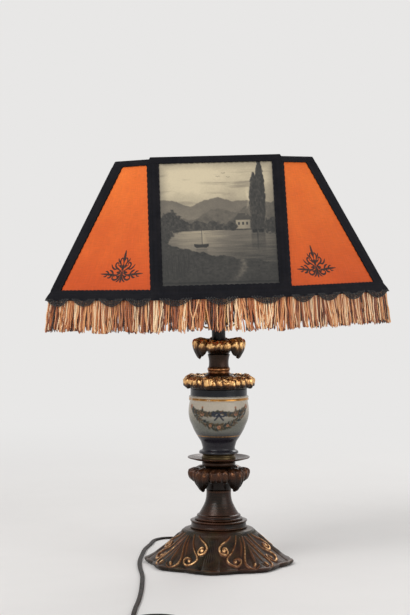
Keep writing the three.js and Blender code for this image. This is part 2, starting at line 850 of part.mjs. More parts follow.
function harp() {
  // Each leg runs straight up, swells to the widest place and draws in to the crown.
  const swellShares = [[0, 0], [0.62, 0.14], [1, 0.36]];
  const closingShares = [[0.86, 0.6], [0.42, 0.84], [0, 0.97]];
  const straightTop = harpBottom + harpStraight;
  const rise = harpTop - straightTop;
  const leg = [
    [harpFootSpread, harpBottom],
    [harpFootSpread, harpBottom + harpStraight / 2],
    ...outlineOf(swellShares, harpFootSpread, harpHalfWidth, straightTop, rise),
    ...outlineOf(closingShares, harpTopHalfWidth, harpHalfWidth, straightTop, rise),
  ];
  const left = leg.map(([x, z]) => new THREE.Vector3(-x, 0, z));
  const right = leg.map(([x, z]) => new THREE.Vector3(x, 0, z)).reverse();
  const path = new THREE.CatmullRomCurve3([...left, new THREE.Vector3(0, 0, harpTop), ...right]);
  const wire = new THREE.ExtrudeGeometry(new THREE.Shape(circlePoints(harpWireRadius)), {
    steps: harpSteps,
    bevelEnabled: false,
    extrudePath: path,
  });
  const stud = turned(
    [
      [0, harpPlateBottom],
      [harpPlateRadius, harpPlateBottom],
      [harpPlateRadius, harpPlateBottom + harpPlateThickness],
      [harpStudRadius, harpPlateBottom + harpPlateThickness],
      [harpStudRadius, harpPlateBottom + harpPlateThickness + harpStudLength],
      [0, harpPlateBottom + harpPlateThickness + harpStudLength],
    ],
    hiddenSegments,
  );
  return surface(solid(wire).add(solid(stud)));
}

function sleeve(side) {
  const bore = harpWireRadius + fit;
  const bottom = saddleBottom + saddleRise + saddleThickness + fit;
  const outline = [[bore + sleeveWall, bottom], [bore + sleeveWall, bottom + sleeveLength]];
  return bored(outline, bore, hiddenSegments).translate(side * harpFootSpread, 0, 0);
}

function finial() {
  const shares = [
    [0.8, 0], [0.8, 0.12], [0.48, 0.22], [0.9, 0.44], [1, 0.6], [0.72, 0.88], [0, 1],
  ];
  const outer = outlineOf(shares, 0, finialRadius, finialBottom, finialHeight);
  const bore = harpStudRadius + fit;
  const top = finialBottom + finialBoreDepth;
  return turned([[0, top], [bore, top], [bore, finialBottom], ...outer], hiddenSegments);
}

// Shade: every piece is placed by the shade's own outline at a height and an inset

function shadeOutline(height, inset) {
  // The six corners at a height, counterclockwise from the front left one. The front and
  // back are level rectangles; the side panels' lines meet in the left and right vertex.
  const up = (height - shadeBottomHeight) / (shadeTopHeight - shadeBottomHeight);
  const depth = lerp(shadeBottomHalfDepth, shadeTopHalfDepth, up);
  const spread = (shadeBottomHalfWidth - shadeCornerX) / shadeBottomHalfDepth;
  const vertex = shadeCornerX + spread * depth;
  const length = Math.hypot(depth, vertex - shadeCornerX);
  const [nx, ny] = [depth / length, (vertex - shadeCornerX) / length];
  const reach = nx * vertex - inset;
  const y = depth - inset;
  const cornerX = (reach - ny * y) / nx;
  const places = [
    [-cornerX, -y], [cornerX, -y], [reach / nx, 0], [cornerX, y], [-cornerX, y], [-reach / nx, 0],
  ];
  return places.map(([px, py]) => new THREE.Vector3(px, py, height));
}

function sideDirection(side) {
  const corners = shadeOutline(shadeBottomHeight, 0);
  return corners[(side + 1) % shadeSides].clone().sub(corners[side]).normalize();
}

function isFront(side) {
  return side === 0 || side === 3;
}

function hexBand(sectionOf) {
  // A mitred band round the shade. sectionOf(side) lists [height, inset] pairs.
  const rings = [];
  for (let side = 0; side < shadeSides; side += 1) {
    const along = sideDirection(side);
    const places = sectionOf(side).map(([height, inset]) => shadeOutline(height, inset));
    const step = along.clone().multiplyScalar(cornerStep);
    rings.push(places.map((corners) => corners[side].clone().add(step)));
    rings.push(places.map((corners) => corners[(side + 1) % shadeSides].clone().sub(step)));
  }
  return skin(rings, true);
}

function topBinding() {
  return hexBand((side) => {
    const top = shadeTopHeight + (isFront(side) ? frontTapeRise : 0);
    const low = shadeTopHeight - topTapeHeight;
    return [[low, 0], [top, 0], [top, tapeThickness], [low, tapeThickness]];
  });
}

function bottomBinding() {
  // The tape on the panels, and a lip that hangs straight down in front of the fringe.
  return hexBand((side) => {
    const high = isFront(side) ? frontBottomTapeHeight : bottomTapeHeight;
    const top = shadeBottomHeight + high;
    const lip = shadeBottomHeight - lipDrop;
    return [
      [lip, -lipThickness], [shadeBottomHeight, -lipThickness], [top, 0],
      [top, tapeThickness], [shadeBottomHeight, tapeThickness - lipThickness], [lip, 0],
    ];
  });
}

function cornerBinding(corner) {
  // A folded tape over the edge between two sides, cut level at both ends.
  const before = (corner + shadeSides - 1) % shadeSides;
  const forward = sideDirection(corner);
  const back = sideDirection(before).negate();
  const widthOn = (side) => {
    if (corner === 2 || corner === 5) return vertexCornerTape;
    return isFront(side) ? frontCornerTape : sideCornerTape;
  };
  const sectionAt = (height) => {
    const outer = shadeOutline(height, 0)[corner];
    const inner = shadeOutline(height, tapeThickness)[corner];
    const reach = (from, along, width) => from.clone().add(along.clone().multiplyScalar(width));
    return [
      reach(outer, forward, widthOn(corner)), outer, reach(outer, back, widthOn(before)),
      reach(inner, back, widthOn(before)), inner, reach(inner, forward, widthOn(corner)),
    ];
  };
  const low = shadeBottomHeight + frontBottomTapeHeight + fit;
  return skin([sectionAt(low), sectionAt(shadeTopHeight - topTapeHeight - fit)], false);
}

function panelSlope() {
  const rise = shadeTopHeight - shadeBottomHeight;
  return rise / Math.hypot(rise, shadeBottomHalfDepth - shadeTopHalfDepth);
}

function panel(side, thickness) {
  // A flat plate under the tapes, a gap short of the corners on both sides.
  const along = sideDirection(side).multiplyScalar(panelEdgeGap);
  const outside = tapeThickness + fit;
  const sectionAt = (height) => {
    const ends = (inset) => {
      const corners = shadeOutline(height, inset);
      const end = corners[(side + 1) % shadeSides];
      return [corners[side].clone().add(along), end.clone().sub(along)];
    };
    const inside = outside + thickness / panelSlope();
    const [a, b] = ends(outside);
    const [c, d] = ends(inside);
    return [a, b, d, c];
  };
  const low = shadeBottomHeight + panelEndGap;
  return skin([sectionAt(low), sectionAt(shadeTopHeight - panelEndGap)], false);
}

function ringWire(height) {
  return hexBand(() => {
    const places = [];
    for (let i = 0; i < wireSides; i += 1) {
      const angle = (turn * i) / wireSides;
      places.push([
        height + ringWireRadius * Math.sin(angle),
        ringInset + ringWireRadius * Math.cos(angle),
      ]);
    }
    return places;
  });
}

function ribWire(corner) {
  const low = shadeOutline(shadeBottomHeight + ringSetback, ringInset)[corner];
  const high = shadeOutline(shadeTopHeight - ringSetback, ringInset)[corner];
  const trim = high.clone().sub(low).setLength(ringWireRadius + fit + ribWireRadius / 2);
  return bar(low.clone().add(trim), high.clone().sub(trim), ribWireRadius, wireSides);
}

function spider() {
  // A hub on the harp and four arms: to the middle of the ring's front and back, and to
  // its left and right corners, where the ring's two bars meet at a slant.
  const bottom = pivotHeight + spiderBottom;
  const top = bottom + spiderHubThickness;
  const bore = harpStudRadius + fit;
  let body = solid(bored([[spiderHubRadius, bottom], [spiderHubRadius, top]], bore, hiddenSegments));
  const corners = shadeOutline(shadeTopHeight - ringSetback, ringInset);
  const middle = new THREE.Vector3(0, 0, (bottom + top) / 2);
  const reach = ringWireRadius + spiderArmRadius + fit;
  const slant = sideDirection(1).dot(new THREE.Vector3(1, 0, 0));
  const arms = [
    [corners[0].clone().lerp(corners[1], 1 / 2), reach],
    [corners[3].clone().lerp(corners[4], 1 / 2), reach],
    [corners[2], reach / Math.sqrt(1 - slant * slant)],
    [corners[5], reach / Math.sqrt(1 - slant * slant)],
  ];
  for (const [target, short] of arms) {
    const level = target.clone().setZ(0).setLength(spiderHubRadius - spiderArmRadius);
    const inner = middle.clone().add(level).setZ(middle.z - spiderArmDrop);
    const outer = target.clone().sub(target.clone().sub(inner).setLength(short));
    body = body.add(solid(bar(inner, outer, spiderArmRadius, wireSides)));
  }
  return surface(body);
}

function fringe() {
  // Strands that flare a little outward, with a slit between each two.
  const rings = [];
  const topInset = fit + (fringeFlare * lipDrop) / fringeDrop;
  const top = shadeBottomHeight - fit;
  const low = shadeBottomHeight - fringeDrop;
  const sectionAt = (start, end, share, bottom) => {
    const flare = (height) => topInset - (fringeFlare * (top - height)) / (top - low);
    const at = (height, inset) => {
      const corners = shadeOutline(shadeBottomHeight, inset);
      return corners[start].clone().lerp(corners[end], share).setZ(height);
    };
    return [
      at(top, topInset), at(bottom, flare(bottom) + fringeThickness / 2),
      at(top, topInset + fringeThickness),
    ];
  };
  for (let side = 0; side < shadeSides; side += 1) {
    const next = (side + 1) % shadeSides;
    const corners = shadeOutline(shadeBottomHeight, 0);
    const length = corners[side].distanceTo(corners[next]);
    const strands = Math.round(length / fringeStrandWidth);
    const slit = fringeSlitWidth / length / 2;
    for (let i = 0; i < strands; i += 1) {
      const from = i / strands;
      const to = (i + 1) / strands;
      rings.push(sectionAt(side, next, from, low + fringeSlitDepth));
      rings.push(sectionAt(side, next, from + slit, low));
      rings.push(sectionAt(side, next, to - slit, low));
    }
  }
  return skin(rings, true);
}

// Lead

function leadSection(waisted) {
  // Two round cores side by side: half the points go round each, with a waist between.
  const [w, t, n] = [leadWidth / 2, leadThickness / 2, leadWaist / 2];
  const right = [[w / 2, -t], [w, 0], [w / 2, t]];
  const left = [[-w / 2, t], [-w, 0], [-w / 2, -t]];
  return waisted ? [...right, [0, n], ...left, [0, -n]] : [...right, ...left];
}

const leadFloor = leadThickness / 2 + leadLift;
const leadStart = bushingSeat() + bushingFlange + fit;

// The route over the table: behind the foot, round its left side and forward
const leadRoute = [
  [0, leadStart, bushingHeight], [0, 108, 5], [-2.5, 121, 2.6], [-10, 138, leadFloor],
  [-23, 158, leadFloor], [-42, 174, leadFloor], [-60, 181, leadFloor], [-75, 178, leadFloor],
  [-85.5, 163, leadFloor], [-90.5, 131, leadFloor], [-96.5, 93, leadFloor],
  [-99.5, 41, leadFloor], [-100.6, -1, leadFloor], [-98.8, -42, leadFloor],
  [-93.8, -100, leadFloor], [-92.4, -145, leadFloor], [-91.8, -201, leadFloor],
  [-92.7, -254, leadFloor], [-94.5, -292, leadFloor], [-95.4, -330, leadFloor],
  [-95.4, -370, leadFloor], [-95.4, -400, leadFloor],
].map(([x, y, z]) => new THREE.Vector3(x, y, z));
const leadPath = new THREE.CatmullRomCurve3(leadRoute, false, "centripetal");

function leadTube() {
  const section = new THREE.Shape(leadSection(true).map(([x, y]) => new THREE.Vector2(x, y)));
  return new THREE.ExtrudeGeometry(section, {
    steps: leadSteps,
    bevelEnabled: false,
    extrudePath: leadPath,
  });
}

class CoilPath extends THREE.Curve {
  // Straight in, round in piled spirals, then straight out and down to the plug.
  constructor() {
    super();
    const end = leadRoute[leadRoute.length - 1];
    this.start = new THREE.Vector3(end.x, end.y - fit, end.z);
    const wound = leadLength - leadPath.getLength() - coilEndStraight - coilTailLength;
    this.midRadius = wound / (turn * coilTurns);
    this.sweep = (coilTurns / coilLayers) * coilTurnPitch;
    this.spin = turn * coilTurns;
    this.arc = this.spin * this.midRadius;
    this.total = coilEndStraight + this.arc + coilTailLength;
    const outer = this.midRadius + this.sweep / 2;
    this.centre = new THREE.Vector3(this.start.x + outer, this.start.y - coilEndStraight, 0);
  }

  wound(angle) {
    // The spiral's place after it has turned by angle, starting at its left side.
    const layer = this.spin / coilLayers;
    const phase = angle / layer;
    const fold = Math.abs(((phase + 1) % 2) - 1);
    const radius = this.midRadius + this.sweep * (1 / 2 - fold);
    let height = leadFloor;
    for (let k = 1; k < coilLayers; k += 1) {
      const climb = THREE.MathUtils.clamp((angle - k * layer) / Math.PI + 1 / 2, 0, 1);
      height += coilLayerPitch * THREE.MathUtils.smoothstep(climb, 0, 1);
    }
    const around = Math.PI + angle;
    return new THREE.Vector3(
      this.centre.x + radius * Math.cos(around),
      this.centre.y + radius * Math.sin(around),
      height,
    );
  }

  getPoint(share, target = new THREE.Vector3()) {
    const gone = share * this.total;
    if (gone < coilEndStraight) return target.copy(this.start).setY(this.start.y - gone);
    if (gone < coilEndStraight + this.arc) {
      return target.copy(this.wound((this.spin * (gone - coilEndStraight)) / this.arc));
    }
    const last = this.wound(this.spin);
    const before = this.wound(this.spin - coilLook);
    const out = last.clone().sub(before).setZ(0).normalize();
    const tail = gone - coilEndStraight - this.arc;
    const slope = THREE.MathUtils.smoothstep(tail, 0, coilTailLength - coilEndStraight);
    last.addScaledVector(out, tail);
    return target.copy(last).setZ(lerp(last.z, plugThickness / 2, slope));
  }
}
const coilPath = new CoilPath();

function coil() {
  // One unbroken flat tube: every ring stands across the path with its width level.
  const steps = Math.round((coilStepsPerTurn * coilTurns * coilPath.total) / coilPath.arc);
  const rings = [];
  for (let i = 0; i <= steps; i += 1) {
    const centre = coilPath.getPoint(i / steps);
    const along = coilPath.getTangent(i / steps);
    const across = new THREE.Vector3(-along.y, along.x, 0).normalize();
    const up = along.clone().cross(across);
    rings.push(leadSection(false).map(([x, y]) => (
      centre.clone().addScaledVector(across, x).addScaledVector(up, y)
    )));
  }
  return skin(rings, false);
}

function printCoilGap() {
  // The least gap between turns: the distance between the flat sections' edges, measured
  // on points a third of a turn or more apart along the lead.
  const samples = 1400;
  const flat = (leadWidth - leadThickness) / 2;
  const lanes = [-flat, 0, flat];
  const points = [];
  for (let i = 0; i <= samples; i += 1) {
    const share = i / samples;
    const tangent = coilPath.getTangentAt(share);
    const across = new THREE.Vector3(-tangent.y, tangent.x, 0).normalize();
    const centre = coilPath.getPointAt(share);
    for (const lane of lanes) points.push([i, centre.clone().addScaledVector(across, lane)]);
  }
  const away = samples / coilTurns / 3;
  let least = Infinity;
  for (const [i, a] of points) {
    for (const [j, b] of points) {
      if (j - i > away) least = Math.min(least, a.distanceTo(b));
    }
  }
  console.log(`coil: least gap between turns ${(least - leadThickness).toFixed(2)} mm,`
    + ` mid-turn diameter ${(2 * coilPath.midRadius).toFixed(1)} mm,`
    + ` free lead ${leadPath.getLength().toFixed(0)} mm`);
}

function bushing() {
  const seat = bushingSeat();
  const profile = [
    [bushingBoreRadius, -bushingBarrelLength], [bushingBarrelRadius, -bushingBarrelLength],
    [bushingBarrelRadius, 0], [bushingFlangeRadius, 0], [bushingFlangeRadius, bushingFlange],
    [bushingBoreRadius, bushingFlange], [bushingBoreRadius, -bushingBarrelLength],
  ];
  return turned(profile, hiddenSegments).rotateX(-turn / 4).translate(0, seat, bushingHeight);
}

function plugFrame() {
  // The lead's end in the plug: where it is, and which way it points.
  const end = coilPath.getPoint(1);
  const before = coilPath.getPoint(1 - 1 / coilPath.total);
  const out = end.clone().sub(before).setZ(0).normalize();
  return { end, angle: Math.atan2(out.y, out.x) };
}

function plugBody() {
  // Narrow where the lead enters, wide at the face, with cut corners.
  const outlineAt = (along, share) => {
    const [w, h] = [(plugWidth / 2) * share, (plugThickness / 2) * Math.max(share, plugSlimShare)];
    const cut = h / 2;
    const places = [[w - cut, -h], [w, -h + cut], [w, h - cut], [w - cut, h]];
    const mirrored = places.map(([y, z]) => [-y, z]).reverse();
    return [...places, ...mirrored].map(([y, z]) => new THREE.Vector3(along, y, z));
  };
  const shares = [[0, plugNeckShare], [0.3, plugNeckShare], [0.55, 0.94], [0.7, 1], [1, 1]];
  const body = skin(shares.map(([along, wide]) => outlineAt(fit + along * plugLength, wide)), false);
  const { end, angle } = plugFrame();
  return body.rotateZ(angle).translate(end.x, end.y, end.z);
}

function plugBlade(side) {
  const blade = new THREE.BoxGeometry(bladeLength, bladeThickness, bladeWidth);
  blade.translate(2 * fit + plugLength + bladeLength / 2, (side * bladeSpacing) / 2, 0);
  const { end, angle } = plugFrame();
  return blade.rotateZ(angle).translate(end.x, end.y, end.z);
}

// Assembly

function base() {
  const group = new THREE.Group();
  const washerBottom = footHeight - footWall - fit - washerThickness;
  group.add(
    piece("felt_pad", feltPad(), felt),
    piece("foot_casting", footCasting(), bronze),
    piece("base_washer", disc(washerRadius, washerThickness, washerBottom, hiddenSegments), steel),
    piece("base_nut", nut(), steel),
    piece("foot_collar", collar(), bronze),
    piece("lower_column", column(), bronze),
    piece("lower_leaf_capital", leafCapital(), bronze),
    piece("plate_hub", plateHub(), bronze),
    piece("drip_plate", dripPlate(), bronze),
    piece("urn_seat_ring", seatRing(), brass),
    piece("porcelain_urn", urn(), porcelain),
    piece("urn_cap", urnCap(), gilt),
    piece("neck", neck(), bronze),
    piece("upper_leaf_crown", leafCrown(), gilt),
    piece("centre_pipe", centrePipe(), steel),
    piece("cord_bushing", bushing(), bakelite),
    piece("cord", leadTube(), leadBrown),
    piece("cord_coil", coil(), leadBrown),
    piece("plug_body", plugBody(), plugBrown),
    piece("plug_blade_1", plugBlade(-1), brass),
    piece("plug_blade_2", plugBlade(1), brass),
  );
  return group;
}

function stemAndSocket() {
  const group = new THREE.Group();
  const nippleTop = socketCapBottom + nippleIntoCap;
  const nippleOutline = [[nippleRadius, 0], [nippleRadius, nippleTop]];
  const stemOutline = [[stemRadius, 0], [stemRadius, stemHeight]];
  const key = piece("switch_key", switchKey(), brass);
  key.position.z = socketShellBottom + keyHeight;
  const saddlePiece = piece("harp_saddle", saddle(), brass);
  saddlePiece.position.z = saddleBottom;
  group.add(
    piece("stem", bored(stemOutline, nippleRadius + fit, hiddenSegments), blackMetal),
    piece("socket_nipple", bored(nippleOutline, nippleBoreRadius, hiddenSegments), steel),
    saddlePiece,
    piece("harp", harp(), brass),
    piece("harp_sleeve_left", sleeve(-1), brass),
    piece("harp_sleeve_right", sleeve(1), brass),
    piece("socket_cap", socketCap(), brass),
    piece("socket_core", socketCore(), bakelite),
    piece("screw_shell", screwShell(), brass),
    piece("socket_shell", socketShell(), brass),
    key,
    piece("bulb_base", bulbBase(), brass),
    piece("bulb_glass", bulbEnvelope(), bulbGlass),
    piece("finial", finial(), brass),
  );
  return group;
}

function shade() {
  const group = new THREE.Group();
  group.add(
    piece("spider", spider(), brass),
    piece("top_ring_wire", ringWire(shadeTopHeight - ringSetback), blackMetal),
    piece("bottom_ring_wire", ringWire(shadeBottomHeight + ringSetback), blackMetal),
    piece("front_lithophane", panel(0, lithophaneThickness), bisque),
    piece("back_lithophane", panel(3, lithophaneThickness), bisque),
    piece("top_binding", topBinding(), tape),
    piece("bottom_binding", bottomBinding(), tape),
    piece("fringe", fringe(), satin),
  );
  for (const side of [1, 2, 4, 5]) {
    group.add(piece(`amber_panel_${side}`, panel(side, amberThickness), amber));
  }
  for (let corner = 0; corner < shadeSides; corner += 1) {
    group.add(piece(`rib_wire_${corner + 1}`, ribWire(corner), blackMetal));
    group.add(piece(`corner_binding_${corner + 1}`, cornerBinding(corner), tape));
  }
  return group;
}

function lamp() {
  const leaning = new THREE.Group();
  leaning.position.z = pivotHeight;
  leaning.rotation.y = -leanAngle;
  leaning.add(stemAndSocket());
  const turning = shade();
  turning.position.z = -pivotHeight;
  turning.rotation.z = shadeAngle;
  leaning.add(turning);
  const whole = new THREE.Group();
  whole.add(base(), leaning);
  return whole;
}

printCoilGap();

export default lamp();
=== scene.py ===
# %% [markdown]
# # A table lamp with picture panels
# This lesson dresses a measured lamp, already drawn as plain solids, in shapes and
# finishes that look like bronze, porcelain, silk and braid. Every new surface is worked
# out with numpy: a shape is a function of two parameters on a grid, or a section carried
# along a path. All lengths are in metres, and the front of the lamp faces -Y.

import math

import bpy
import numpy as np
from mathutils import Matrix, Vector


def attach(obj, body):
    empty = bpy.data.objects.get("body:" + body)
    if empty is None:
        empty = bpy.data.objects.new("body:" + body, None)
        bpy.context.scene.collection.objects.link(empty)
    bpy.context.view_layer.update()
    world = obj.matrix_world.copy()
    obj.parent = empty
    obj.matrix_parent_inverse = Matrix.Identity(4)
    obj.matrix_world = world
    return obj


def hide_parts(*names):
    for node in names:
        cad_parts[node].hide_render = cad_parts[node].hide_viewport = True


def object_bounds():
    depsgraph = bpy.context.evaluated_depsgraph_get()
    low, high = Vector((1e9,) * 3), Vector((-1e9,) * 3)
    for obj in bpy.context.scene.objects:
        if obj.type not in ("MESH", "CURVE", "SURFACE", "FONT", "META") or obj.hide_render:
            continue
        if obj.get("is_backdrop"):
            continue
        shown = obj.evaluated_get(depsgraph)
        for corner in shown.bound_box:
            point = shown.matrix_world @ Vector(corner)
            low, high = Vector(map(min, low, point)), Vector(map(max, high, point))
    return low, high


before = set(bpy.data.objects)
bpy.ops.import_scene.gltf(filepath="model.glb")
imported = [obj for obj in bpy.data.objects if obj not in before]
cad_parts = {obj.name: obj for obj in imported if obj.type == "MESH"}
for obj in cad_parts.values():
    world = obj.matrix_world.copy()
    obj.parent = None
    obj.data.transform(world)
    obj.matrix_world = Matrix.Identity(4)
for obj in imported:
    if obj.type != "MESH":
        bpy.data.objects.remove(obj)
plain_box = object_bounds()
MM = 0.001
TURN = 2 * math.pi
DEGREE = math.pi / 180
print("solids in the frame:", len(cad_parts), "box:", plain_box)

# %% [markdown]
# ## The camera
# The photograph was taken from about two metres, a little above the shade, with a long
# lens, which keeps the lamp's upright lines nearly parallel. The camera looks down by two
# degrees, which puts the lamp where the picture has it without any lens shift.

# %% Place the camera
scene = bpy.context.scene
looking_down = 1.99 * DEGREE
lens = bpy.data.cameras.new("camera")
lens.lens, lens.sensor_width, lens.clip_start, lens.clip_end = 103.38, 36, 0.1, 60
camera = bpy.data.objects.new("camera", lens)
camera.location = Vector((-17.46, -2236.6, 402.5)) * MM
camera.rotation_euler = (TURN / 4 - looking_down, 0, 0)
scene.collection.objects.link(camera)
scene.camera = camera
scene.view_settings.view_transform = "Standard"
print("the camera stands at", camera.location)

# %% [markdown]
# ## Small tools: grids
# Blender builds a mesh fastest from whole arrays. A surface here is a grid of points with
# rows and columns; the quads between them follow from the row and column numbers alone.
# Wrapping the rows or the columns closes the surface, and a row of points can be capped.


# %% Turn grids of points into a piece
def new_piece(name, points, quads, material, maps=None, values=None, smooth=True, caps=()):
    """A mesh object from points, four-cornered faces and optional end caps. maps holds a
    texture place for each face corner; values holds one number or colour for each point."""
    mesh = bpy.data.meshes.new(name)
    sizes = [4] * len(quads) + [len(cap) for cap in caps]
    corners = np.concatenate([quads.ravel(), *caps]).astype(np.int32)
    mesh.vertices.add(len(points))
    mesh.vertices.foreach_set("co", np.asarray(points, np.float32).ravel())
    mesh.loops.add(len(corners))
    mesh.loops.foreach_set("vertex_index", corners)
    mesh.polygons.add(len(sizes))
    starts = np.concatenate([[0], np.cumsum(sizes)[:-1]]).astype(np.int32)
    mesh.polygons.foreach_set("loop_start", starts)
    mesh.polygons.foreach_set("loop_total", np.array(sizes, np.int32))
    mesh.polygons.foreach_set("use_smooth", np.full(len(sizes), smooth))
    mesh.update(calc_edges=True)
    if maps is not None:
        layer = mesh.uv_layers.new(name="map")
        extra = np.zeros((len(corners) - len(maps), 2))
        layer.data.foreach_set("uv", np.concatenate([maps, extra]).astype(np.float32).ravel())
    for key, numbers in (values or {}).items():
        kind, field = ("FLOAT_COLOR", "color") if numbers.ndim == 2 else ("FLOAT", "value")
        layer = mesh.attributes.new(key, kind, "POINT")
        layer.data.foreach_set(field, numbers.astype(np.float32).ravel())
    mesh.materials.append(material)
    piece = bpy.data.objects.new(name, mesh)
    scene.collection.objects.link(piece)
    return piece


def grid_piece(name, grids, material, wrap, size=(1, 1), values=None, caps=False, smooth=True):
    """A piece over a grid of points [rows, columns, xyz], or over many of one shape
    [count, rows, columns, xyz]: every grid gets the same faces, moved on by its number. A
    wrapped side joins its last line to its first. size is the length and width that the
    texture map gives to a whole grid. The faces turn outwards: they are turned round if
    the volume that they enclose comes out negative."""
    rows, columns = grids.shape[-3:-1]
    grids = grids.reshape(-1, rows * columns, 3)
    whole = [rows if wrap[0] else rows - 1, columns if wrap[1] else columns - 1]
    r, c = (x.ravel() for x in np.meshgrid(np.arange(whole[0]), np.arange(whole[1]), indexing="ij"))
    places = np.stack([[r, c], [r + 1, c], [r + 1, c + 1], [r, c + 1]])
    quads = ((places[:, 0] % rows) * columns + places[:, 1] % columns).T
    places = places.transpose(2, 0, 1)
    ends = [np.arange(columns), np.arange(columns)[::-1] + (rows - 1) * columns] if caps else []
    a, b, c, d = (grids[0][quads[:, k]] for k in range(4))
    if (a * np.cross(b, c)).sum() + (a * np.cross(c, d)).sum() < 0:
        quads, places, ends = quads[:, ::-1], places[:, ::-1], [end[::-1] for end in ends]
    maps = np.tile((places / np.array(whole) * np.array(size)).reshape(-1, 2), (len(grids), 1))
    quads = (quads[None] + (np.arange(len(grids)) * rows * columns)[:, None, None]).reshape(-1, 4)
    points = grids.reshape(-1, 3)
    flat = {key: v.reshape(len(points), -1).squeeze() for key, v in (values or {}).items()}
    return new_piece(name, points, quads, material, maps, flat, smooth, ends)


def seat(piece, body, slot, *nodes):
    if nodes:
        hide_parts(*nodes)
    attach(piece, body)


print("grid helpers are ready")

# %% [markdown]
# ## Small tools: lines, sweeps and noise
# Most shapes on the lamp start as a smooth line through a few measured points. The line is
# then turned round the axis, like a pot, or a ring is carried along it, like a hose. Noise
# adds what hand work adds: two sizes of random hills, blended so that no edge shows.


# %% Draw lines, sweep sections and make noise
def blend_line(t, start, end, leaving, arriving):
    """The cubic from one point to the next, with a slope at each, as t goes from 0 to 1."""
    return ((2 * t**3 - 3 * t**2 + 1) * start + (t**3 - 2 * t**2 + t) * leaving
            + (3 * t**2 - 2 * t**3) * end + (t**3 - t**2) * arriving)


def with_ends(points):
    """The points with one more at each end, as far out as the next one is in."""
    p = np.asarray(points, float)
    return np.concatenate([[2 * p[0] - p[1]], p, [2 * p[-1] - p[-2]]])


def smooth_line(points, steps):
    """A smooth line through points, as many places between each two as steps says. Its slope
    at a point is half the way from its last to its next neighbour."""
    p = with_ends(points)
    t = np.linspace(0, 1, steps, endpoint=False)[:, None]
    a, b, c, d = (p[k : len(p) - 3 + k, None] for k in range(4))
    line = blend_line(t, b, c, 0.5 * (c - a), 0.5 * (d - b))
    return np.concatenate([line.reshape(-1, p.shape[1]), p[-2:-1]])


def unit(v):
    return v / np.maximum(np.linalg.norm(v, axis=-1, keepdims=True), 1e-12)


def walked_along(line):
    """The distance walked along a line up to each of its points."""
    return np.concatenate([[0], np.cumsum(np.linalg.norm(np.diff(line, axis=0), axis=1))])


def carried_round(profile, angle):
    """A profile of radius and height, one for all angles or one for each, turned round Z."""
    r, z = (np.broadcast_to(profile[..., k], (len(angle), profile.shape[-2])) for k in (0, 1))
    return np.stack([r * np.cos(angle)[:, None], r * np.sin(angle)[:, None], z], -1)


def tube(path, radius, sides, up):
    """Rings round a path. Each ring stands across the path, and its first axis is level,
    because it is the cross product of the path's direction with up."""
    path = np.asarray(path, float)
    along = unit(np.gradient(path, axis=-2))
    across = unit(np.cross(along, np.asarray(up, float)))
    over = np.cross(across, along)
    angle = np.arange(sides) / sides * TURN
    radius = np.broadcast_to(radius, path.shape[:-1])[..., None, None]
    ring = across[..., None, :] * np.cos(angle)[:, None] + over[..., None, :] * np.sin(angle)[:, None]
    return path[..., None, :] + radius * ring


def step_up(low, high, x):
    """0 below low, 1 above high, and a smooth S between them."""
    t = np.clip((x - low) / (high - low), 0, 1)
    return t * t * (3 - 2 * t)


def value_noise(x, y, seed):
    """Smooth random hills one unit apart: random numbers on a lattice, blended between."""
    table = np.random.default_rng(seed).random((257, 257))
    i, j = np.floor(x).astype(int), np.floor(y).astype(int)
    u, v = x - i, y - j
    u, v = u * u * (3 - 2 * u), v * v * (3 - 2 * v)
    at = lambda a, b: table[a % 257, b % 257]
    low = at(i, j) * (1 - u) + at(i + 1, j) * u
    high = at(i, j + 1) * (1 - u) + at(i + 1, j + 1) * u
    return low * (1 - v) + high * v


def cloud(x, y, seed, layers=5):
    """Several layers of the random hills, each twice as fine and half as strong."""
    total = sum(value_noise(x * 2**k, y * 2**k, seed + k) / 2**k for k in range(layers))
    return total / sum(1 / 2**k for k in range(layers))


print("line, sweep and noise helpers are ready")

# %% [markdown]
# ## Small tools: node trees
# A material is a tree of nodes. The helper below adds a node, sets its plain inputs and
# links the others, so that a finish reads as a few lines. Effects that several finishes
# share are node groups with named inputs, built once.


# %% Add nodes and start finishes
def rgb(red, green, blue):
    """A colour named as a screen shows it, 0 to 255, in the straight scale that nodes use."""
    return (*[float(x) for x in straight(np.array([red, green, blue]) / 255)], 1.0)


def straight(c):
    return np.where(c <= 0.04045, c / 12.92, ((c + 0.055) / 1.055) ** 2.4)


def fill(tree, made, inputs):
    """Links the inputs that are sockets, and sets the others."""
    for key, value in inputs.items():
        if isinstance(value, bpy.types.NodeSocket):
            tree.links.new(value, made.inputs[key])
        else:
            made.inputs[key].default_value = value
    return made


def add(tree, kind, inputs=None, **settings):
    made = tree.nodes.new("ShaderNode" + kind)
    for key, value in settings.items():
        setattr(made, key, value)
    return fill(tree, made, inputs or {})


def spaced(inputs):
    return {key.replace("_", " "): value for key, value in inputs.items()}


def mix(tree, share, first, second, blend="MIX"):
    """One colour passing into another as share goes from 0 to 1."""
    made = add(tree, "Mix", {0: share, 6: first, 7: second}, data_type="RGBA", blend_type=blend)
    return made.outputs[2]


def maths(tree, operation, first, second=0.0, third=0.0):
    return add(tree, "Math", {0: first, 1: second, 2: third}, operation=operation).outputs[0]


def spread(tree, value, low, high, to_low=0.0, to_high=1.0):
    """The value stretched from one range to another, and held at the ends."""
    given = {"Value": value, "From Min": low, "From Max": high, "To Min": to_low, "To Max": to_high}
    return add(tree, "MapRange", given).outputs["Result"]


def grey(tree, value):
    return add(tree, "CombineColor", {0: value, 1: value, 2: value}).outputs[0]


def ramp(tree, value, steps):
    """The colour that the steps, pairs of a place and a colour, give to a value."""
    made = add(tree, "ValToRGB", {"Fac": value})
    for k, (at, colour) in enumerate(steps):
        stop = made.color_ramp.elements[k] if k < 2 else made.color_ramp.elements.new(at)
        stop.position, stop.color = at, colour
    return made.outputs["Color"]


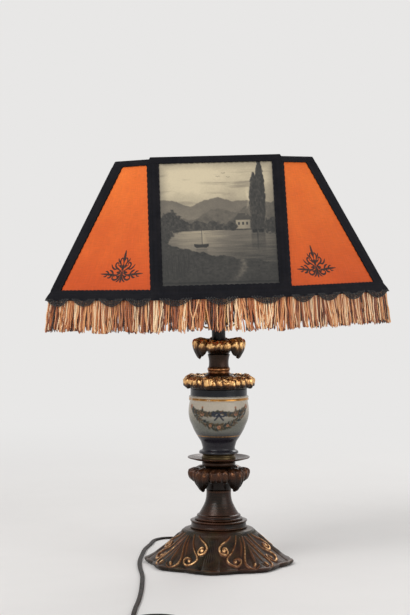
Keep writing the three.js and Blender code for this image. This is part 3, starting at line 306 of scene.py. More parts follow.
def noise(tree, place, scale, detail, **others):
    given = {"Vector": place, "Scale": scale, "Detail": detail, **others}
    return add(tree, "TexNoise", given).outputs[0]


def bump(tree, height, strength, distance):
    given = {"Height": height, "Strength": strength, "Distance": distance}
    return add(tree, "Bump", given).outputs["Normal"]


def attribute(tree, name, output="Fac"):
    return add(tree, "Attribute", attribute_name=name).outputs[output]


def own_place(tree):
    return add(tree, "TexCoord").outputs["Object"]


def map_place(tree):
    return add(tree, "TexCoord").outputs["UV"]


def start_finish(name, **plain):
    """A new material with one Principled shader. plain gives the sockets that are the same
    all over, under their own names with underscores for spaces."""
    material = bpy.data.materials.new(name)
    material.use_nodes = True
    tree = material.node_tree
    tree.nodes.clear()
    shader = add(tree, "BsdfPrincipled", spaced(plain))
    add(tree, "OutputMaterial", {"Surface": shader.outputs["BSDF"]})
    return material, tree, shader


def feed(tree, shader, colour, uneven, rough, relief, height=None, **others):
    """Links a colour, and lets one uneven value set both the roughness, between two limits,
    and the bumps, whose strength and height are relief. height may take its place there."""
    fill(tree, shader, {"Base Color": colour, "Roughness": spread(tree, uneven, 0.3, 0.7, *rough),
                        "Normal": bump(tree, height or uneven, *relief), **others})


def start_group(name, outs, **ins):
    """An empty node group with a place to read, named number inputs and number outputs."""
    group = bpy.data.node_groups.new(name, "ShaderNodeTree")
    group.interface.new_socket("Vector", in_out="INPUT", socket_type="NodeSocketVector")
    for key, value in ins.items():
        socket = group.interface.new_socket(key, in_out="INPUT", socket_type="NodeSocketFloat")
        socket.default_value = value
    for key in outs:
        group.interface.new_socket(key, in_out="OUTPUT", socket_type="NodeSocketFloat")
    return group, group.nodes.new("NodeGroupInput").outputs, group.nodes.new("NodeGroupOutput").inputs


def use(tree, group, **inputs):
    """Places a group in a tree and links or sets its inputs."""
    return fill(tree, add(tree, "Group", node_tree=group), spaced(inputs)).outputs


def mottle_group():
    """Soft patches: two sizes of noise added, and stretched so that most of the surface is
    near 0 or near 1. The second output is the finer noise."""
    group, given, out = start_group("Mottle", ("Mask", "Fine"), Scale=100.0, Low=0.4, High=0.6)
    wide = noise(group, given["Vector"], given["Scale"], 5.0)
    fine = noise(group, given["Vector"], maths(group, "MULTIPLY", given["Scale"], 9.0), 3.0)
    both = maths(group, "SUBTRACT", maths(group, "MULTIPLY_ADD", fine, 0.25, wide), 0.125)
    group.links.new(spread(group, both, given["Low"], given["High"]), out["Mask"])
    group.links.new(fine, out["Fine"])
    return group


mottle = mottle_group()


def coat(name, colour, worn, rough, scale=90.0, high=0.66, relief=(0.15, 0.0003), also=None, **plain):
    """Paint, plastic, felt or glass: an even colour with patches that are worn, limits for
    the roughness, the bumps' strength and height, and a function that changes the colour."""
    material, tree, shader = start_finish(name, **plain)
    patches = use(tree, mottle, Vector=own_place(tree), Scale=scale, Low=0.4, High=high)
    tint = mix(tree, patches["Mask"], colour, worn)
    feed(tree, shader, also(tree, tint) if also else tint, patches["Fine"], rough, relief)
    return material


print("node helpers are ready")

# %% [markdown]
# ## The mains lead
# The lamp has a brown flat lead of two cores, about 1.8 m long. It leaves the back of the
# foot, swings round its left side and comes forward over the table; what the picture
# doesn't show is wound into a coil just in front. A flat lead is a section of two round
# lobes carried along the path, with its width kept level so that it lies flat.

# %% Lay the lead along its route
lead_width, lead_thick, lead_waist = 5.4 * MM, 2.8 * MM, 1.9 * MM
lead_floor = 1.7 * MM
foot_turn = -7 * DEGREE
foot_tip, foot_leaf, foot_valley = 95.5 * MM, 93.9 * MM, 88.3 * MM


def foot_rim(angle):
    """The foot's outline: a mean radius, a wave with eight lobes, and a smaller one with
    four that makes the scroll lobes reach a little further than the leaves."""
    sector = np.cos(4 * (angle - foot_turn + TURN / 4))
    wide = (foot_tip + foot_leaf) / 2
    mean = (wide + foot_valley) / 2
    return mean + (wide - mean) * (2 * sector**2 - 1) + (foot_tip - foot_leaf) / 2 * sector


bushing_radius, bushing_flange, bushing_gap, lead_height = 4.9 * MM, 2 * MM, 0.3 * MM, 6.2 * MM
near = TURN / 4 + np.array([-1, -0.5, 0, 0.5, 1]) * math.asin(bushing_radius / foot_tip)
lead_start = float((foot_rim(near) * np.sin(near)).max()) + bushing_gap + bushing_flange + bushing_gap
on_table = [(-10, 138), (-23, 158), (-42, 174), (-60, 181), (-75, 178), (-85.5, 163), (-90.5, 131),
            (-96.5, 93), (-99.5, 41), (-100.6, -1), (-98.8, -42), (-93.8, -100), (-92.4, -145),
            (-91.8, -201), (-92.7, -254), (-94.5, -292), (-95.4, -330), (-95.4, -370), (-95.4, -400)]
route = [(0, lead_start / MM, lead_height / MM), (0, 108, 5), (-2.5, 121, 2.6)]
route = np.array(route + [(x, y, lead_floor / MM) for x, y in on_table]) * MM


def even_line(points, steps):
    """A smooth line through uneven points. Each stretch is timed by the square root of its
    length, so that the line doesn't swing out where long stretches meet short ones."""
    p = with_ends(points)
    gap = np.sqrt(np.linalg.norm(np.diff(p, axis=0), axis=1))[:, None]
    a, b, c, d = (p[k : len(p) - 3 + k] for k in range(4))
    u, v, w = gap[:-2], gap[1:-1], gap[2:]
    m = v * ((b - a) / u - (c - a) / (u + v) + (c - b) / v)
    n = v * ((c - b) / v - (d - b) / (v + w) + (d - c) / w)
    line = blend_line(np.linspace(0, 1, steps, endpoint=False)[:, None, None], b, c, m, n)
    return np.concatenate([line.transpose(1, 0, 2).reshape(-1, 3), points[-1:]])


free_lead = even_line(route, 14)
lead_length = 1.8
coil_turns, coil_layers, turn_pitch, layer_pitch = 7.25, 4, 6.3 * MM, 3.5 * MM
straight_in, tail_out, plug_half, coil_gap = 5.4 * MM, 26 * MM, 7 * MM, 0.3 * MM
free_length = walked_along(free_lead)[-1]
mid_radius = (lead_length - free_length - straight_in - tail_out) / (TURN * coil_turns)
sweep = coil_turns / coil_layers * turn_pitch
coil_centre = route[-1] + np.array([mid_radius + sweep / 2, -coil_gap - straight_in, 0])


def wound(angle):
    """The coil's place after a turn by angle: a spiral that runs in and out again, layer
    upon layer, and climbs one layer's height at the end of each run."""
    layer = TURN * coil_turns / coil_layers
    radius = mid_radius + sweep * (0.5 - np.abs((angle / layer + 1) % 2 - 1))
    height = np.full_like(angle, lead_floor)
    for k in range(1, coil_layers):
        height = height + layer_pitch * step_up(-0.5, 0.5, (angle - k * layer) / math.pi)
    x = coil_centre[0] + radius * np.cos(math.pi + angle)
    return np.stack([x, coil_centre[1] + radius * np.sin(math.pi + angle), height], -1)


turning = wound(np.linspace(0, TURN * coil_turns, 560))
leave = unit((turning[-1] - turning[-2]) * [1, 1, 0])
tail = np.linspace(0, tail_out, 16)[1:]
tail_line = turning[-1] + leave * tail[:, None]
drop = step_up(0, tail_out - straight_in, tail)
tail_line[:, 2] = turning[-1, 2] * (1 - drop) + plug_half * drop
lead_line = np.concatenate([free_lead, turning, tail_line])
print("free length:", round(free_length, 3), "coil radius:", round(mid_radius, 4))

# %% [markdown]
# ### Vinyl for the lead
# The lead is a soft brown plastic, a little shiny where it is worn, with dust in the
# groove between the cores. The groove follows the lead, so it reads the piece's own map.


# %% Make the lead's finish and carry its section along the path
def lead_groove(tree, tint):
    across = add(tree, "SeparateXYZ", {0: map_place(tree)}).outputs[1]
    wave = maths(tree, "ABSOLUTE", maths(tree, "SUBTRACT", maths(tree, "FRACT", across), 0.5))
    line = spread(tree, wave, 0.43, 0.5)
    return mix(tree, maths(tree, "MULTIPLY", line, 0.5), tint, vinyl_dust)


vinyl_brown, vinyl_dust = rgb(20, 13, 9), rgb(36, 25, 18)
vinyl = {"rough": (0.4, 0.62), "scale": 60.0, "high": 0.6, "relief": (0.25, 0.0003),
         "Specular_IOR_Level": 0.12}
lead_vinyl = coat("lead vinyl", vinyl_brown, vinyl_dust, also=lead_groove, **vinyl)
plug_vinyl = coat("plug vinyl", vinyl_brown, vinyl_dust, **vinyl)


def rounded(value, power):
    return np.sign(value) * np.abs(value) ** power


def lead_rings(path):
    """Two round lobes side by side: a level ellipse-like outline whose half height dips to
    the waist in the middle, set square across the path."""
    along = unit(np.gradient(path, axis=0))
    across = unit(np.stack([-along[:, 1], along[:, 0], np.zeros(len(path))], -1))
    over = np.cross(along, across)
    a = np.arange(20) / 20 * TURN
    w = lead_width / 2 * rounded(np.cos(a), 0.9)
    dip = lead_waist + (lead_thick - lead_waist) * step_up(0, 0.5, np.abs(w) / (lead_width / 2))
    h = dip / 2 * rounded(np.sin(a), 0.8)
    return path[:, None] + across[:, None] * w[:, None] + over[:, None] * h[:, None]


lead = grid_piece("mains_lead", lead_rings(lead_line), lead_vinyl, (False, True), (1800, 2), caps=True)
seat(lead, "stand", "brown_plastic", "cord", "cord_coil")
print("lead points:", len(lead_line))

# %% [markdown]
# ### The tie
# A neat coil is held by a soft wire tie, wound twice round the bundle. It is a thin tube
# whose path is a rounded box about the coil's section.


# %% Wind a tie round the coil
def coil_tie():
    """A rounded box in the plane across the coil at its right side, gone round twice while
    it moves along the bundle by its own width."""
    half_wide = sweep / 2 + lead_width / 2 + 1.1 * MM
    low, high = 0.9 * MM, lead_floor + (coil_layers - 1) * layer_pitch + lead_thick / 2 + 1.2 * MM
    t = np.linspace(0, 2 * TURN, 160)
    x = coil_centre[0] + mid_radius * 0.99 + half_wide * rounded(np.cos(t), 0.45)
    y = coil_centre[1] - mid_radius * 0.12 + 2.2 * MM * t / TURN
    z = (low + high) / 2 + (high - low) / 2 * rounded(np.sin(t), 0.45)
    return np.stack([x, y, z], -1)


tie_black = coat("tie vinyl", rgb(28, 26, 25), rgb(52, 48, 45), **vinyl)
tie_radius = 0.8 * MM
tie = grid_piece("coil_tie", tube(coil_tie(), tie_radius, 8, up=(0, 1, 0.1)), tie_black, (False, True),
                 caps=True)
seat(tie, "stand", "black_plastic")

# %% [markdown]
# ## Table, light and background
# A plain pale table and soft light show a finish fairly. The lamps and the world are set
# so that a surface turned to the light shows about its own colour. The world looks white
# to the camera and in reflections, yet lights the lamp more softly. Far from the lamp the
# table passes into the same white, so that no edge of it is seen.


# %% Lay the table and set the light
background = rgb(232, 231, 230)


def direct_look(tree):
    """1 for rays that see a thing straight, in gloss or through glass; 0 for its light."""
    path = add(tree, "LightPath").outputs
    sees = maths(tree, "MAXIMUM", path["Is Camera Ray"], path["Is Glossy Ray"])
    return maths(tree, "MAXIMUM", sees, path["Is Transmission Ray"])


def stage_floor():
    material, tree, shader = start_finish("pale table", Roughness=0.9, Specular_IOR_Level=0.1)
    place = own_place(tree)
    patches = use(tree, mottle, Vector=place, Scale=3.0)
    tint = mix(tree, patches["Mask"], rgb(232, 230, 228), rgb(234, 232, 230))
    fill(tree, shader, {"Base Color": tint})
    away = add(tree, "VectorMath", {0: place}, operation="LENGTH").outputs["Value"]
    far = add(tree, "MapRange", {"Value": away, "From Min": 0.35, "From Max": 1.9},
              interpolation_type="SMOOTHERSTEP").outputs["Result"]
    glow = add(tree, "Emission", {"Color": background, "Strength": 1.0})
    share = maths(tree, "MULTIPLY", far, direct_look(tree))
    both = add(tree, "MixShader", {0: share, 1: shader.outputs[0], 2: glow.outputs[0]})
    end = next(node for node in tree.nodes if node.type == "OUTPUT_MATERIAL")
    tree.links.new(both.outputs[0], end.inputs["Surface"])
    half = 9.0
    corners = np.array([(-half, -half, 0), (half, -half, 0), (half, half, 0), (-half, half, 0)])
    new_piece("floor", corners, np.array([[0, 1, 2, 3]]), material)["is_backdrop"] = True


def soft_lamp(name, place, target, size, power):
    """A square lamp turned to face a point."""
    light = bpy.data.lights.new(name, "AREA")
    light.size, light.energy = size, power
    holder = bpy.data.objects.new(name, light)
    holder.location = place
    holder.rotation_euler = (Vector(target) - Vector(place)).to_track_quat("-Z", "Y").to_euler()
    scene.collection.objects.link(holder)


def pale_world(lit):
    """White to the camera and in gloss and glass; a softer grey as a source of light."""
    world = bpy.data.worlds.new("studio")
    world.use_nodes = True
    tree = world.node_tree
    tree.nodes.clear()
    bright = add(tree, "Background", {"Color": background, "Strength": 1.0})
    soft = add(tree, "Background", {"Color": (1, 1, 1, 1), "Strength": lit})
    both = add(tree, "MixShader", {0: direct_look(tree), 1: soft.outputs[0], 2: bright.outputs[0]})
    add(tree, "OutputWorld", {"Surface": both.outputs[0]})
    scene.world = world


stage_floor()
pale_world(0.5)
soft_lamp("key", (-1.3, -1.5, 1.9), (0, 0, 0.28), 1.3, 30)
soft_lamp("fill", (1.7, -1.4, 0.9), (0, 0, 0.3), 1.6, 14)
soft_lamp("rim", (0.6, 1.7, 1.6), (0, 0, 0.3), 1.2, 14)
print("stage is set")

# %% [markdown]
# ## Metals with a past
# The castings are bronze that was once gilded. Gold is left on the ridges that hands and
# cloths polish, and dark brown patina sits in the hollows. Each casting carries a number
# for each point that says how far it is raised; the finish turns that, broken up by
# noise, into gold or patina.


# %% Make the gilding group and the metal finishes
def gilding_group():
    """How much gold shows: the raised value plus a little noise, passed through a soft
    step. The second output is the same noise, for unevenness in the gloss."""
    group, given, out = start_group("Worn gilding", ("Gold", "Noise"), Raised=0.0, Low=0.35, High=0.75)
    flecks = noise(group, given["Vector"], 240.0, 6.0, Roughness=0.62)
    share = maths(group, "SUBTRACT", maths(group, "MULTIPLY_ADD", flecks, 0.7, given["Raised"]), 0.35)
    group.links.new(spread(group, share, given["Low"], given["High"]), out["Gold"])
    group.links.new(flecks, out["Noise"])
    return group


gilding = gilding_group()
patina_red, soot = rgb(66, 38, 30), rgb(14, 10, 8)


def old_bronze(name, low, high, patina=(52, 43, 26), deep=(21, 17, 11), gold=(255, 184, 104),
               brown=(134, 78, 34), rough=0.36, wash=0.5):
    """Patina with gold on what is raised. Around the gold lies a brown wash, and the
    deepest hollows are nearly black. Gold is rubbed away in patches."""
    material, tree, shader = start_finish(name, Specular_IOR_Level=0.28)
    place, raised, brown = own_place(tree), attribute(tree, "raised"), rgb(*brown)
    patches = use(tree, mottle, Vector=place, Scale=90.0, Low=0.35, High=0.65)
    rubbed = use(tree, mottle, Vector=place, Scale=34.0, Low=0.42, High=0.62)["Mask"]
    kept = maths(tree, "MULTIPLY_ADD", rubbed, -0.2, raised)
    worn = use(tree, gilding, Vector=place, Raised=kept, Low=low, High=high)
    ground = mix(tree, patches["Mask"], rgb(*deep), rgb(*patina))
    ground = mix(tree, maths(tree, "MULTIPLY", rubbed, 0.45), ground, patina_red)
    ground = mix(tree, spread(tree, raised, 0.22, 0.6, 0.0, wash), ground, brown)
    ground = mix(tree, spread(tree, raised, 0.0, 0.2, 0.8, 0.0), ground, soot)
    golden = mix(tree, spread(tree, worn["Noise"], 0.3, 0.62), brown, rgb(*gold))
    feed(tree, shader, mix(tree, worn["Gold"], ground, golden), patches["Fine"],
         (rough - 0.1, rough + 0.12), (0.4, 0.0006), worn["Noise"],
         Metallic=spread(tree, worn["Gold"], 0, 1, 0.35, 0.97))
    return material


foot_bronze = old_bronze("foot bronze", 0.62, 0.92, gold=(244, 198, 142), wash=0.42)
leaf_bronze = old_bronze("leaf bronze", 0.84, 1.25, (50, 34, 22), gold=(226, 156, 108),
                         brown=(112, 62, 32), wash=0.2, rough=0.26)
leaf_gilt = old_bronze("leaf gilding", 0.3, 0.6, (78, 52, 26), (36, 26, 15), (255, 208, 142),
                       (182, 120, 64), rough=0.24)
# The turned pieces' very dark patina is partly the bronze's own colour and partly painted shade, for the
# hub and the column stand in shade under the drip plate and the capital.
turned_bronze = old_bronze("turned bronze", 0.7, 1.15, (25, 19, 13), (9, 8, 6), rough=0.26, wash=0.12)
neck_bronze = old_bronze("neck bronze", 0.6, 0.95, (38, 29, 18), gold=(206, 146, 98), rough=0.3, wash=0.2)


def plain_metal(name, colour, dull, rough):
    """An even metal with fine scratches and duller patches."""
    material, tree, shader = start_finish(name, Metallic=1.0)
    place = own_place(tree)
    patches = use(tree, mottle, Vector=place, Scale=70.0, Low=0.4, High=0.62)
    feed(tree, shader, mix(tree, patches["Mask"], rgb(*colour), rgb(*dull)),
         noise(tree, place, 600.0, 3.0), (rough, rough + 0.14), (0.12, 0.0002))
    return material


lamp_brass = plain_metal("lamp brass", (196, 158, 92), (146, 112, 62), 0.26)
aged_brass = plain_metal("aged brass", (110, 94, 66), (72, 60, 42), 0.4)
zinc_steel = plain_metal("zinc steel", (168, 168, 164), (132, 130, 124), 0.34)
print("metals are ready")

# %% [markdown]
# ## The foot
# The foot is a casting with four scroll cartouches and four leaves between them. Its
# relief repeats: an eighth of a turn, from the middle of a cartouche to the middle of a
# leaf, is mirrored and turned to make the rest. So the scrolls are drawn once, as lines
# in degrees from the cartouche's middle and millimetres from the axis, and every point of
# the grid asks how far it is from the nearest line.


# %% Shape the foot with its scrolls
def distance_to(line, x, y):
    """The least distance from each point to a broken line, and how far along the line, from
    0 to 1, the nearest place is."""
    a, d = line[:-1], np.diff(line, axis=0)
    from_x, from_y = x[..., None] - a[:, 0], y[..., None] - a[:, 1]
    share = np.clip((from_x * d[:, 0] + from_y * d[:, 1]) / (d**2).sum(1), 0, 1)
    gap = np.hypot(from_x - share * d[:, 0], from_y - share * d[:, 1])
    k = gap.argmin(-1)[..., None]
    nearest, part = (np.take_along_axis(v, k, -1)[..., 0] for v in (gap, share))
    return nearest, (k[..., 0] + part) / len(a)


def bead(gap, half_width, height):
    """A half-round ridge: highest on its line and gone at half_width from it."""
    return height * np.sqrt(np.clip(1 - (gap / half_width) ** 2, 0, 1))


upper_volute = [(24, 47.5), (17.4, 51.5), (10.5, 56), (7.2, 61.5), (9.6, 67), (14.2, 67.4), (17, 63.4),
                (15.2, 59.6), (11.8, 60), (11.2, 62.8), (13.2, 63.6)]
s_scroll = [(33, 47.5), (29, 54.5), (21.9, 62.5), (16.5, 69), (14.8, 74.5), (17.6, 79), (22, 80.6),
            (26.4, 78.6), (28.3, 74.2), (26.3, 70.8), (22.8, 71), (21, 73.6), (23, 75.6)]
long_rib = [(42.6, 49.5), (40.4, 57), (36.4, 65), (33, 72.5), (31.4, 80), (33, 86.4), (37, 89),
            (41.6, 87.4), (43.4, 83.6)]
inner_rib = [(38, 50), (35.6, 58), (32, 65), (29.6, 70)]
leaf_rib = [(44.6, 58), (42.8, 68), (41.4, 78), (40.2, 84)]
scrolls = [(upper_volute, 1.5, 2.2), (s_scroll, 1.5, 2.1), (long_rib, 1.4, 1.9), (inner_rib, 1.1, 1.3),
           (leaf_rib, 1.1, 1.2)]
studs = [(12.6, 63, 2.7, 2.6), (22.6, 74.6, 2.4, 2.4), (38.6, 84, 2.7, 2.2)]
shoulder_radius, foot_height, rim_height = 44 * MM, 45 * MM, 4.6 * MM


def relief(fold, radius):
    """The height of the carving at fold, the degrees from a cartouche's middle from 0 to 45,
    and a radius in mm. Degrees become millimetres at that radius, so that a bead is as wide
    near the axis as at the rim. Returns the height in mm and how far it is raised, 0 to 1."""
    x = np.radians(fold) * radius
    height, halo = np.zeros_like(x), np.zeros_like(x)
    for line, width, rise in scrolls:
        line = smooth_line(line, 8)
        line = np.stack([np.radians(line[:, 0]) * line[:, 1], line[:, 1]], 1)
        gap, along = distance_to(line, x, radius)
        thin = 0.5 + 0.5 * np.sin(np.pi * np.clip(along * 0.9 + 0.1, 0, 1))
        height = np.maximum(height, bead(gap, width * thin, rise * thin))
        halo = np.maximum(halo, 0.45 * thin * np.exp(-(gap / 2.8) ** 2) * step_up(0, 0.35, along))
    for degrees, r, size, rise in studs:
        gap = np.hypot(np.radians(degrees) * r - x, radius - r)
        height = np.maximum(height, bead(gap, size, rise))
        halo = np.maximum(halo, 0.5 * np.exp(-(gap / 4) ** 2))
    tongue = step_up(7.6, 6.2, fold) * step_up(49, 53, radius)
    ribs, beads = (0.5 + 0.5 * np.cos(fold / pitch * TURN) for pitch in (2.1, 3))
    fine = tongue * (0.35 + 0.75 * ribs * step_up(84, 74, radius))
    fine = np.maximum(fine, 0.5 * beads * step_up(45.2, 45.8, radius) * step_up(48, 47.2, radius))
    raised = np.maximum(np.clip(height / 2.1, 0, 1), np.maximum(halo, 0.16 * fine))
    return np.maximum(height, fine), raised


def foot_grid():
    """Rows go round the axis. Columns run over the top from the bore out, down over the rim
    and back underneath. The top falls from the shoulder to the rim as a power of the way
    left; grooves lie between the lobes, and the carving is added along the surface."""
    angle = np.arange(960) / 960 * TURN
    a, s = np.meshgrid(angle, np.linspace(0, 1, 84), indexing="ij")
    turned = a - foot_turn + TURN / 4
    scallop = np.abs(np.cos(12 * turned)) ** 0.8 - 1
    rim = foot_rim(a) + 1.5 * MM * scallop
    radius = shoulder_radius + (rim - shoulder_radius) * s
    sector, swell = np.cos(4 * turned), np.sin(np.pi * np.minimum(1, s * 1.15))
    height = rim_height + (foot_height - 1 * MM - rim_height) * (1 - s) ** 1.2
    height -= 2.2 * MM * (1 - sector**2) * swell + 1.2 * MM * np.maximum(0, sector) ** 6 * swell
    height += 0.9 * MM * scallop * step_up(0.72, 0.94, s) * step_up(1.0, 0.97, s)
    carved, raised = relief(np.abs((np.degrees(turned) + 45) % 90 - 45), radius / MM)
    edge = bead(np.abs(s - 0.965) * 46, 1.3, 1.1)
    carved = np.maximum(carved * step_up(1.0, 0.95, s), edge)
    raised = np.maximum(raised, 0.35 * edge)
    height += carved * 0.8 * MM
    radius = radius + carved * 0.35 * MM * step_up(0, 0.1, s) * step_up(1.0, 0.93, s)
    top = [(5.3, 45), (39.6, 45), (40.2, 44.9), (41.4, 44.4), (43, 44.2)]
    under = [(1, 3.2), (0.985, 1.6), (0.975, 0.7), (0.96, 0.4)]
    inside = [(84, 0.4), (84, 2.6), (76, 2.6), (70, 8), (56, 18), (40, 34), (21, 39.8), (5.3, 40)]
    ring = lambda r, z: np.stack([r + 0 * angle, z * MM + 0 * angle], -1)
    columns = [ring(r * MM, z) for r, z in top] + list(np.stack([radius, height], -1).swapaxes(0, 1))
    columns += [ring(rim[:, 0] * share, z) for share, z in under] + [ring(r * MM, z) for r, z in inside]
    marks = np.full((len(angle), len(columns)), 0.3)
    marks[:, len(top) : -len(under + inside)] = np.maximum(raised, 0.2)
    marks[:, -len(under + inside) :] = 0.1
    return carried_round(np.stack(columns, 1), angle), marks


foot_points, foot_marks = foot_grid()
foot = grid_piece("carved_foot", foot_points, foot_bronze, (True, True), values={"raised": foot_marks})
seat(foot, "stand", "antique_bronze", "foot_casting")
print("foot points:", foot_points.shape[:2], "across:", round(float(np.ptp(foot_points[..., 0])), 4))

# %% [markdown]
# ## Turned pieces
# Between the castings are pieces turned on a lathe: a collar, a trumpet-shaped column, a
# hub, a thin drip plate, a seat ring and the neck. Each is a profile carried round the
# axis. Real turning leaves small flats and rounded corners, so the profile's corners are
# softened by cutting each one twice, or once where the piece is thin.


# %% Turn the plain pieces
bore = 5.3
collar = [(36.1, 45.3), (36.1, 47.4), (35.2, 48.2), (34.8, 49.4), (34.8, 52.2), (35.3, 53.2), (36.1, 53.9),
          (36.1, 55.7)]
column = [(30.6, 56.0), (30.6, 57.6), (29.6, 58.5), (28.2, 58.9), (27.8, 60.0), (27.9, 61.4), (27.0, 62.4),
          (25.4, 62.9), (25.0, 63.6), (23.6, 65.8), (22.0, 68.6), (20.3, 71.6), (18.6, 75.0), (17.2, 78.4),
          (16.3, 82), (15.8, 86), (15.6, 90), (15.9, 93.6)]
hub = [(17, 118.6), (17, 121.6), (17.6, 122.6), (19.6, 123.8), (21.2, 125), (21.3, 128.4), (20.4, 129.4),
       (19.6, 130.2)]
plate = [(21.9, 130.5), (30.5, 131.7), (37.4, 133.6), (39.1, 134.1), (39.6, 134.9), (39.1, 135.6),
         (37.6, 135.4), (30.5, 133.2), (21.9, 131.9)]
ring = [(21.4, 132.2), (21.6, 133.2), (21.6, 135.4), (20.4, 136.6), (20.1, 137.8), (20.8, 138.6),
        (21.1, 140.1)]
neck = [(17.6, 236.5), (17.7, 238.6), (17.0, 239.4), (15.2, 240.4), (13.9, 242.4), (13.4, 244.2),
        (13.9, 245.2), (14.4, 246.0), (14.4, 247.6), (13.7, 248.6), (12.9, 249.6), (12.5, 252), (12.4, 256),
        (12.8, 260), (13.6, 263.4), (14.4, 265.8)]


def soften(outline, rounds):
    """Closes an outline along the bore and cuts its corners: each stretch keeps its middle
    part, and the cuts join them."""
    p, keep = np.array([(bore, outline[0][1]), *outline, (bore, outline[-1][1])]), 0.82
    for _ in range(rounds):
        q = np.roll(p, -1, axis=0)
        p = np.stack([p * keep + q * (1 - keep), p * (1 - keep) + q * keep], 1).reshape(-1, 2)
    return p


def bulging(profile):
    """The raised mark of a turned piece grows where its profile bulges."""
    beside = np.roll(profile[:, 0], 3) + np.roll(profile[:, 0], -3)
    return 0.35 + 0.3 * np.clip(2 * profile[:, 0] - beside, -1, 1)


def neck_band(profile):
    """The neck is gilded round its moulded band only."""
    return 0.34 + 0.6 * step_up(239.6, 243, profile[:, 1]) * step_up(250.4, 248.4, profile[:, 1])


around = np.arange(160) / 160 * TURN
for name, outline, rounds, marking, finish, slot, node in (
    ("turned_collar", collar, 2, bulging, turned_bronze, "antique_bronze", "foot_collar"),
    ("turned_column", column, 2, bulging, turned_bronze, "antique_bronze", "lower_column"),
    ("turned_hub", hub, 2, bulging, turned_bronze, "antique_bronze", "plate_hub"),
    ("turned_plate", plate, 1, bulging, turned_bronze, "antique_bronze", "drip_plate"),
    ("turned_seat", ring, 2, bulging, aged_brass, "brass", "urn_seat_ring"),
    ("turned_neck", neck, 2, neck_band, neck_bronze, "antique_bronze", "neck"),
):
    profile = soften(outline, rounds)
    values = {"raised": np.tile(marking(profile), (len(around), 1))}
    turned = grid_piece(name, carried_round(profile * MM, around), finish, (True, True), values=values)
    seat(turned, "stand", slot, node)
    print(name, "profile points:", len(profile))

# %% [markdown]
# ## Leaf castings
# The capital, the crown and the urn's cap are rings of leaves that roll outwards. Small
# rolled leaves and large drooping ones take turns, with a small one in front. Three
# sections describe a ring: through a small leaf, through a large one and through the
# crease beside them. Every point slides between them as the angle goes round. Fingers, a
# midrib and fine veins are then pushed out along the surface, most where the leaf has
# rolled over, because that is where a casting shows them.


# %% Cast the leaves
def leaf_ring(lines, closing, count, per_leaf, sharp, fingers, depth, knob, at, uneven, dull, twist=0.0):
    """lines are three open lines of radius and height in mm, for a small leaf, a large leaf
    and a crease, from under the curl round and over to the top. closing is the inner line
    that shuts the section. count is the number of leaves and per_leaf the steps across one.
    sharp says how fast a leaf closes towards the crease, and twist turns its fingers. depth
    and knob are how far, in mm, grooves are cut and fingertips swell. at says where along a
    line the leaf's edge, its shoulder and its root on top are. uneven is how far, in mm, hand
    work makes the surface wander. Below the two heights of darkening the gold fades out:
    painted shade on the lower, hanging part of the leaves. Returns the grid and how far each
    point is raised."""
    small, large, crease = (smooth_line(line, 7) for line in lines)
    leaf = np.arange(count * per_leaf) / per_leaf
    angle = leaf * TURN / count - TURN / 4
    local = ((leaf + 0.5) % 1 * 2 - 1)[:, None]
    opened = (np.abs(np.cos(np.pi * leaf)) ** sharp)[:, None]
    size = ((1 - np.cos(np.pi * leaf)) / 2)[:, None, None]
    line = crease + (small + (large - small) * size - crease) * opened[..., None]
    along = np.linspace(0, 1, line.shape[1])
    forward = unit(np.gradient(line, axis=1))
    out = np.stack([forward[..., 1], -forward[..., 0]], -1)
    edge, shoulder, root = at
    lobe = np.abs(np.cos((local + twist * (along - shoulder)) * fingers * TURN / 4))
    groove = (1 - lobe) ** 2
    face = step_up(edge - 0.16, edge - 0.02, along) * step_up(root, root - 0.1, along)
    knobs = np.exp(-((along - shoulder) / 0.075) ** 2) + 0.8 * np.exp(-((along - edge) / 0.05) ** 2)
    veins = np.cos((local + twist * along) * fingers * TURN * 1.25 + 5 * along * np.sign(local))
    across = line[..., 0] / 3.4
    lumps = cloud(across * np.cos(angle)[:, None] + 60, across * np.sin(angle)[:, None] + 7 * along + 60,
                  40 + count, 3) - 0.5
    push = face * (0.1 * depth * veins - depth * groove) + knob * lobe**2 * knobs * (1 + 1.6 * lumps)
    push = push * opened**0.4 + 2 * uneven * lumps * face
    line = line + out * push[..., None]
    inner = np.tile(np.asarray(closing, float), (len(angle), 1, 1))
    # Painted light: lit keeps the gold to the upper, outer roll of each leaf, where light from above falls;
    # the knobs and lobes there also carry gilding of their own.
    lit = step_up(edge + 0.02, shoulder - 0.06, along) * step_up(root + 0.14, root + 0.02, along)
    crest = 0.14 + (0.28 + 0.2 * lobe + 0.45 * lobe * knobs + 1.1 * lumps) * lit - 0.06 * groove * face
    # Painted shade: below the two given heights the gold fades out, and the hanging lower part of the
    # leaves turns dark.
    crest = np.clip(crest * (0.7 + 0.3 * opened**0.5), 0, 1) * step_up(*dull, line[..., 1])
    marks = np.concatenate([crest, np.full((len(angle), len(closing)), 0.14)], 1)
    return carried_round(np.concatenate([line, inner], 1) * MM, angle), marks


def cast_leaves(name, node, material, slot, span, lines, closing, **shape):
    """span is an inner and an outer radius, a bottom and a height in mm; the lines give
    shares of the way between them."""
    inner, outer, bottom, height = span
    lines = np.asarray(lines, float)
    lines = np.stack([inner + (outer - inner) * lines[..., 0], bottom + height * lines[..., 1]], -1)
    points, marks = leaf_ring(lines, closing, **shape)
    piece = grid_piece(name, points, material, (True, True), values={"raised": marks})
    seat(piece, "stand", slot, node)
    print(name, "points:", points.shape[:2])


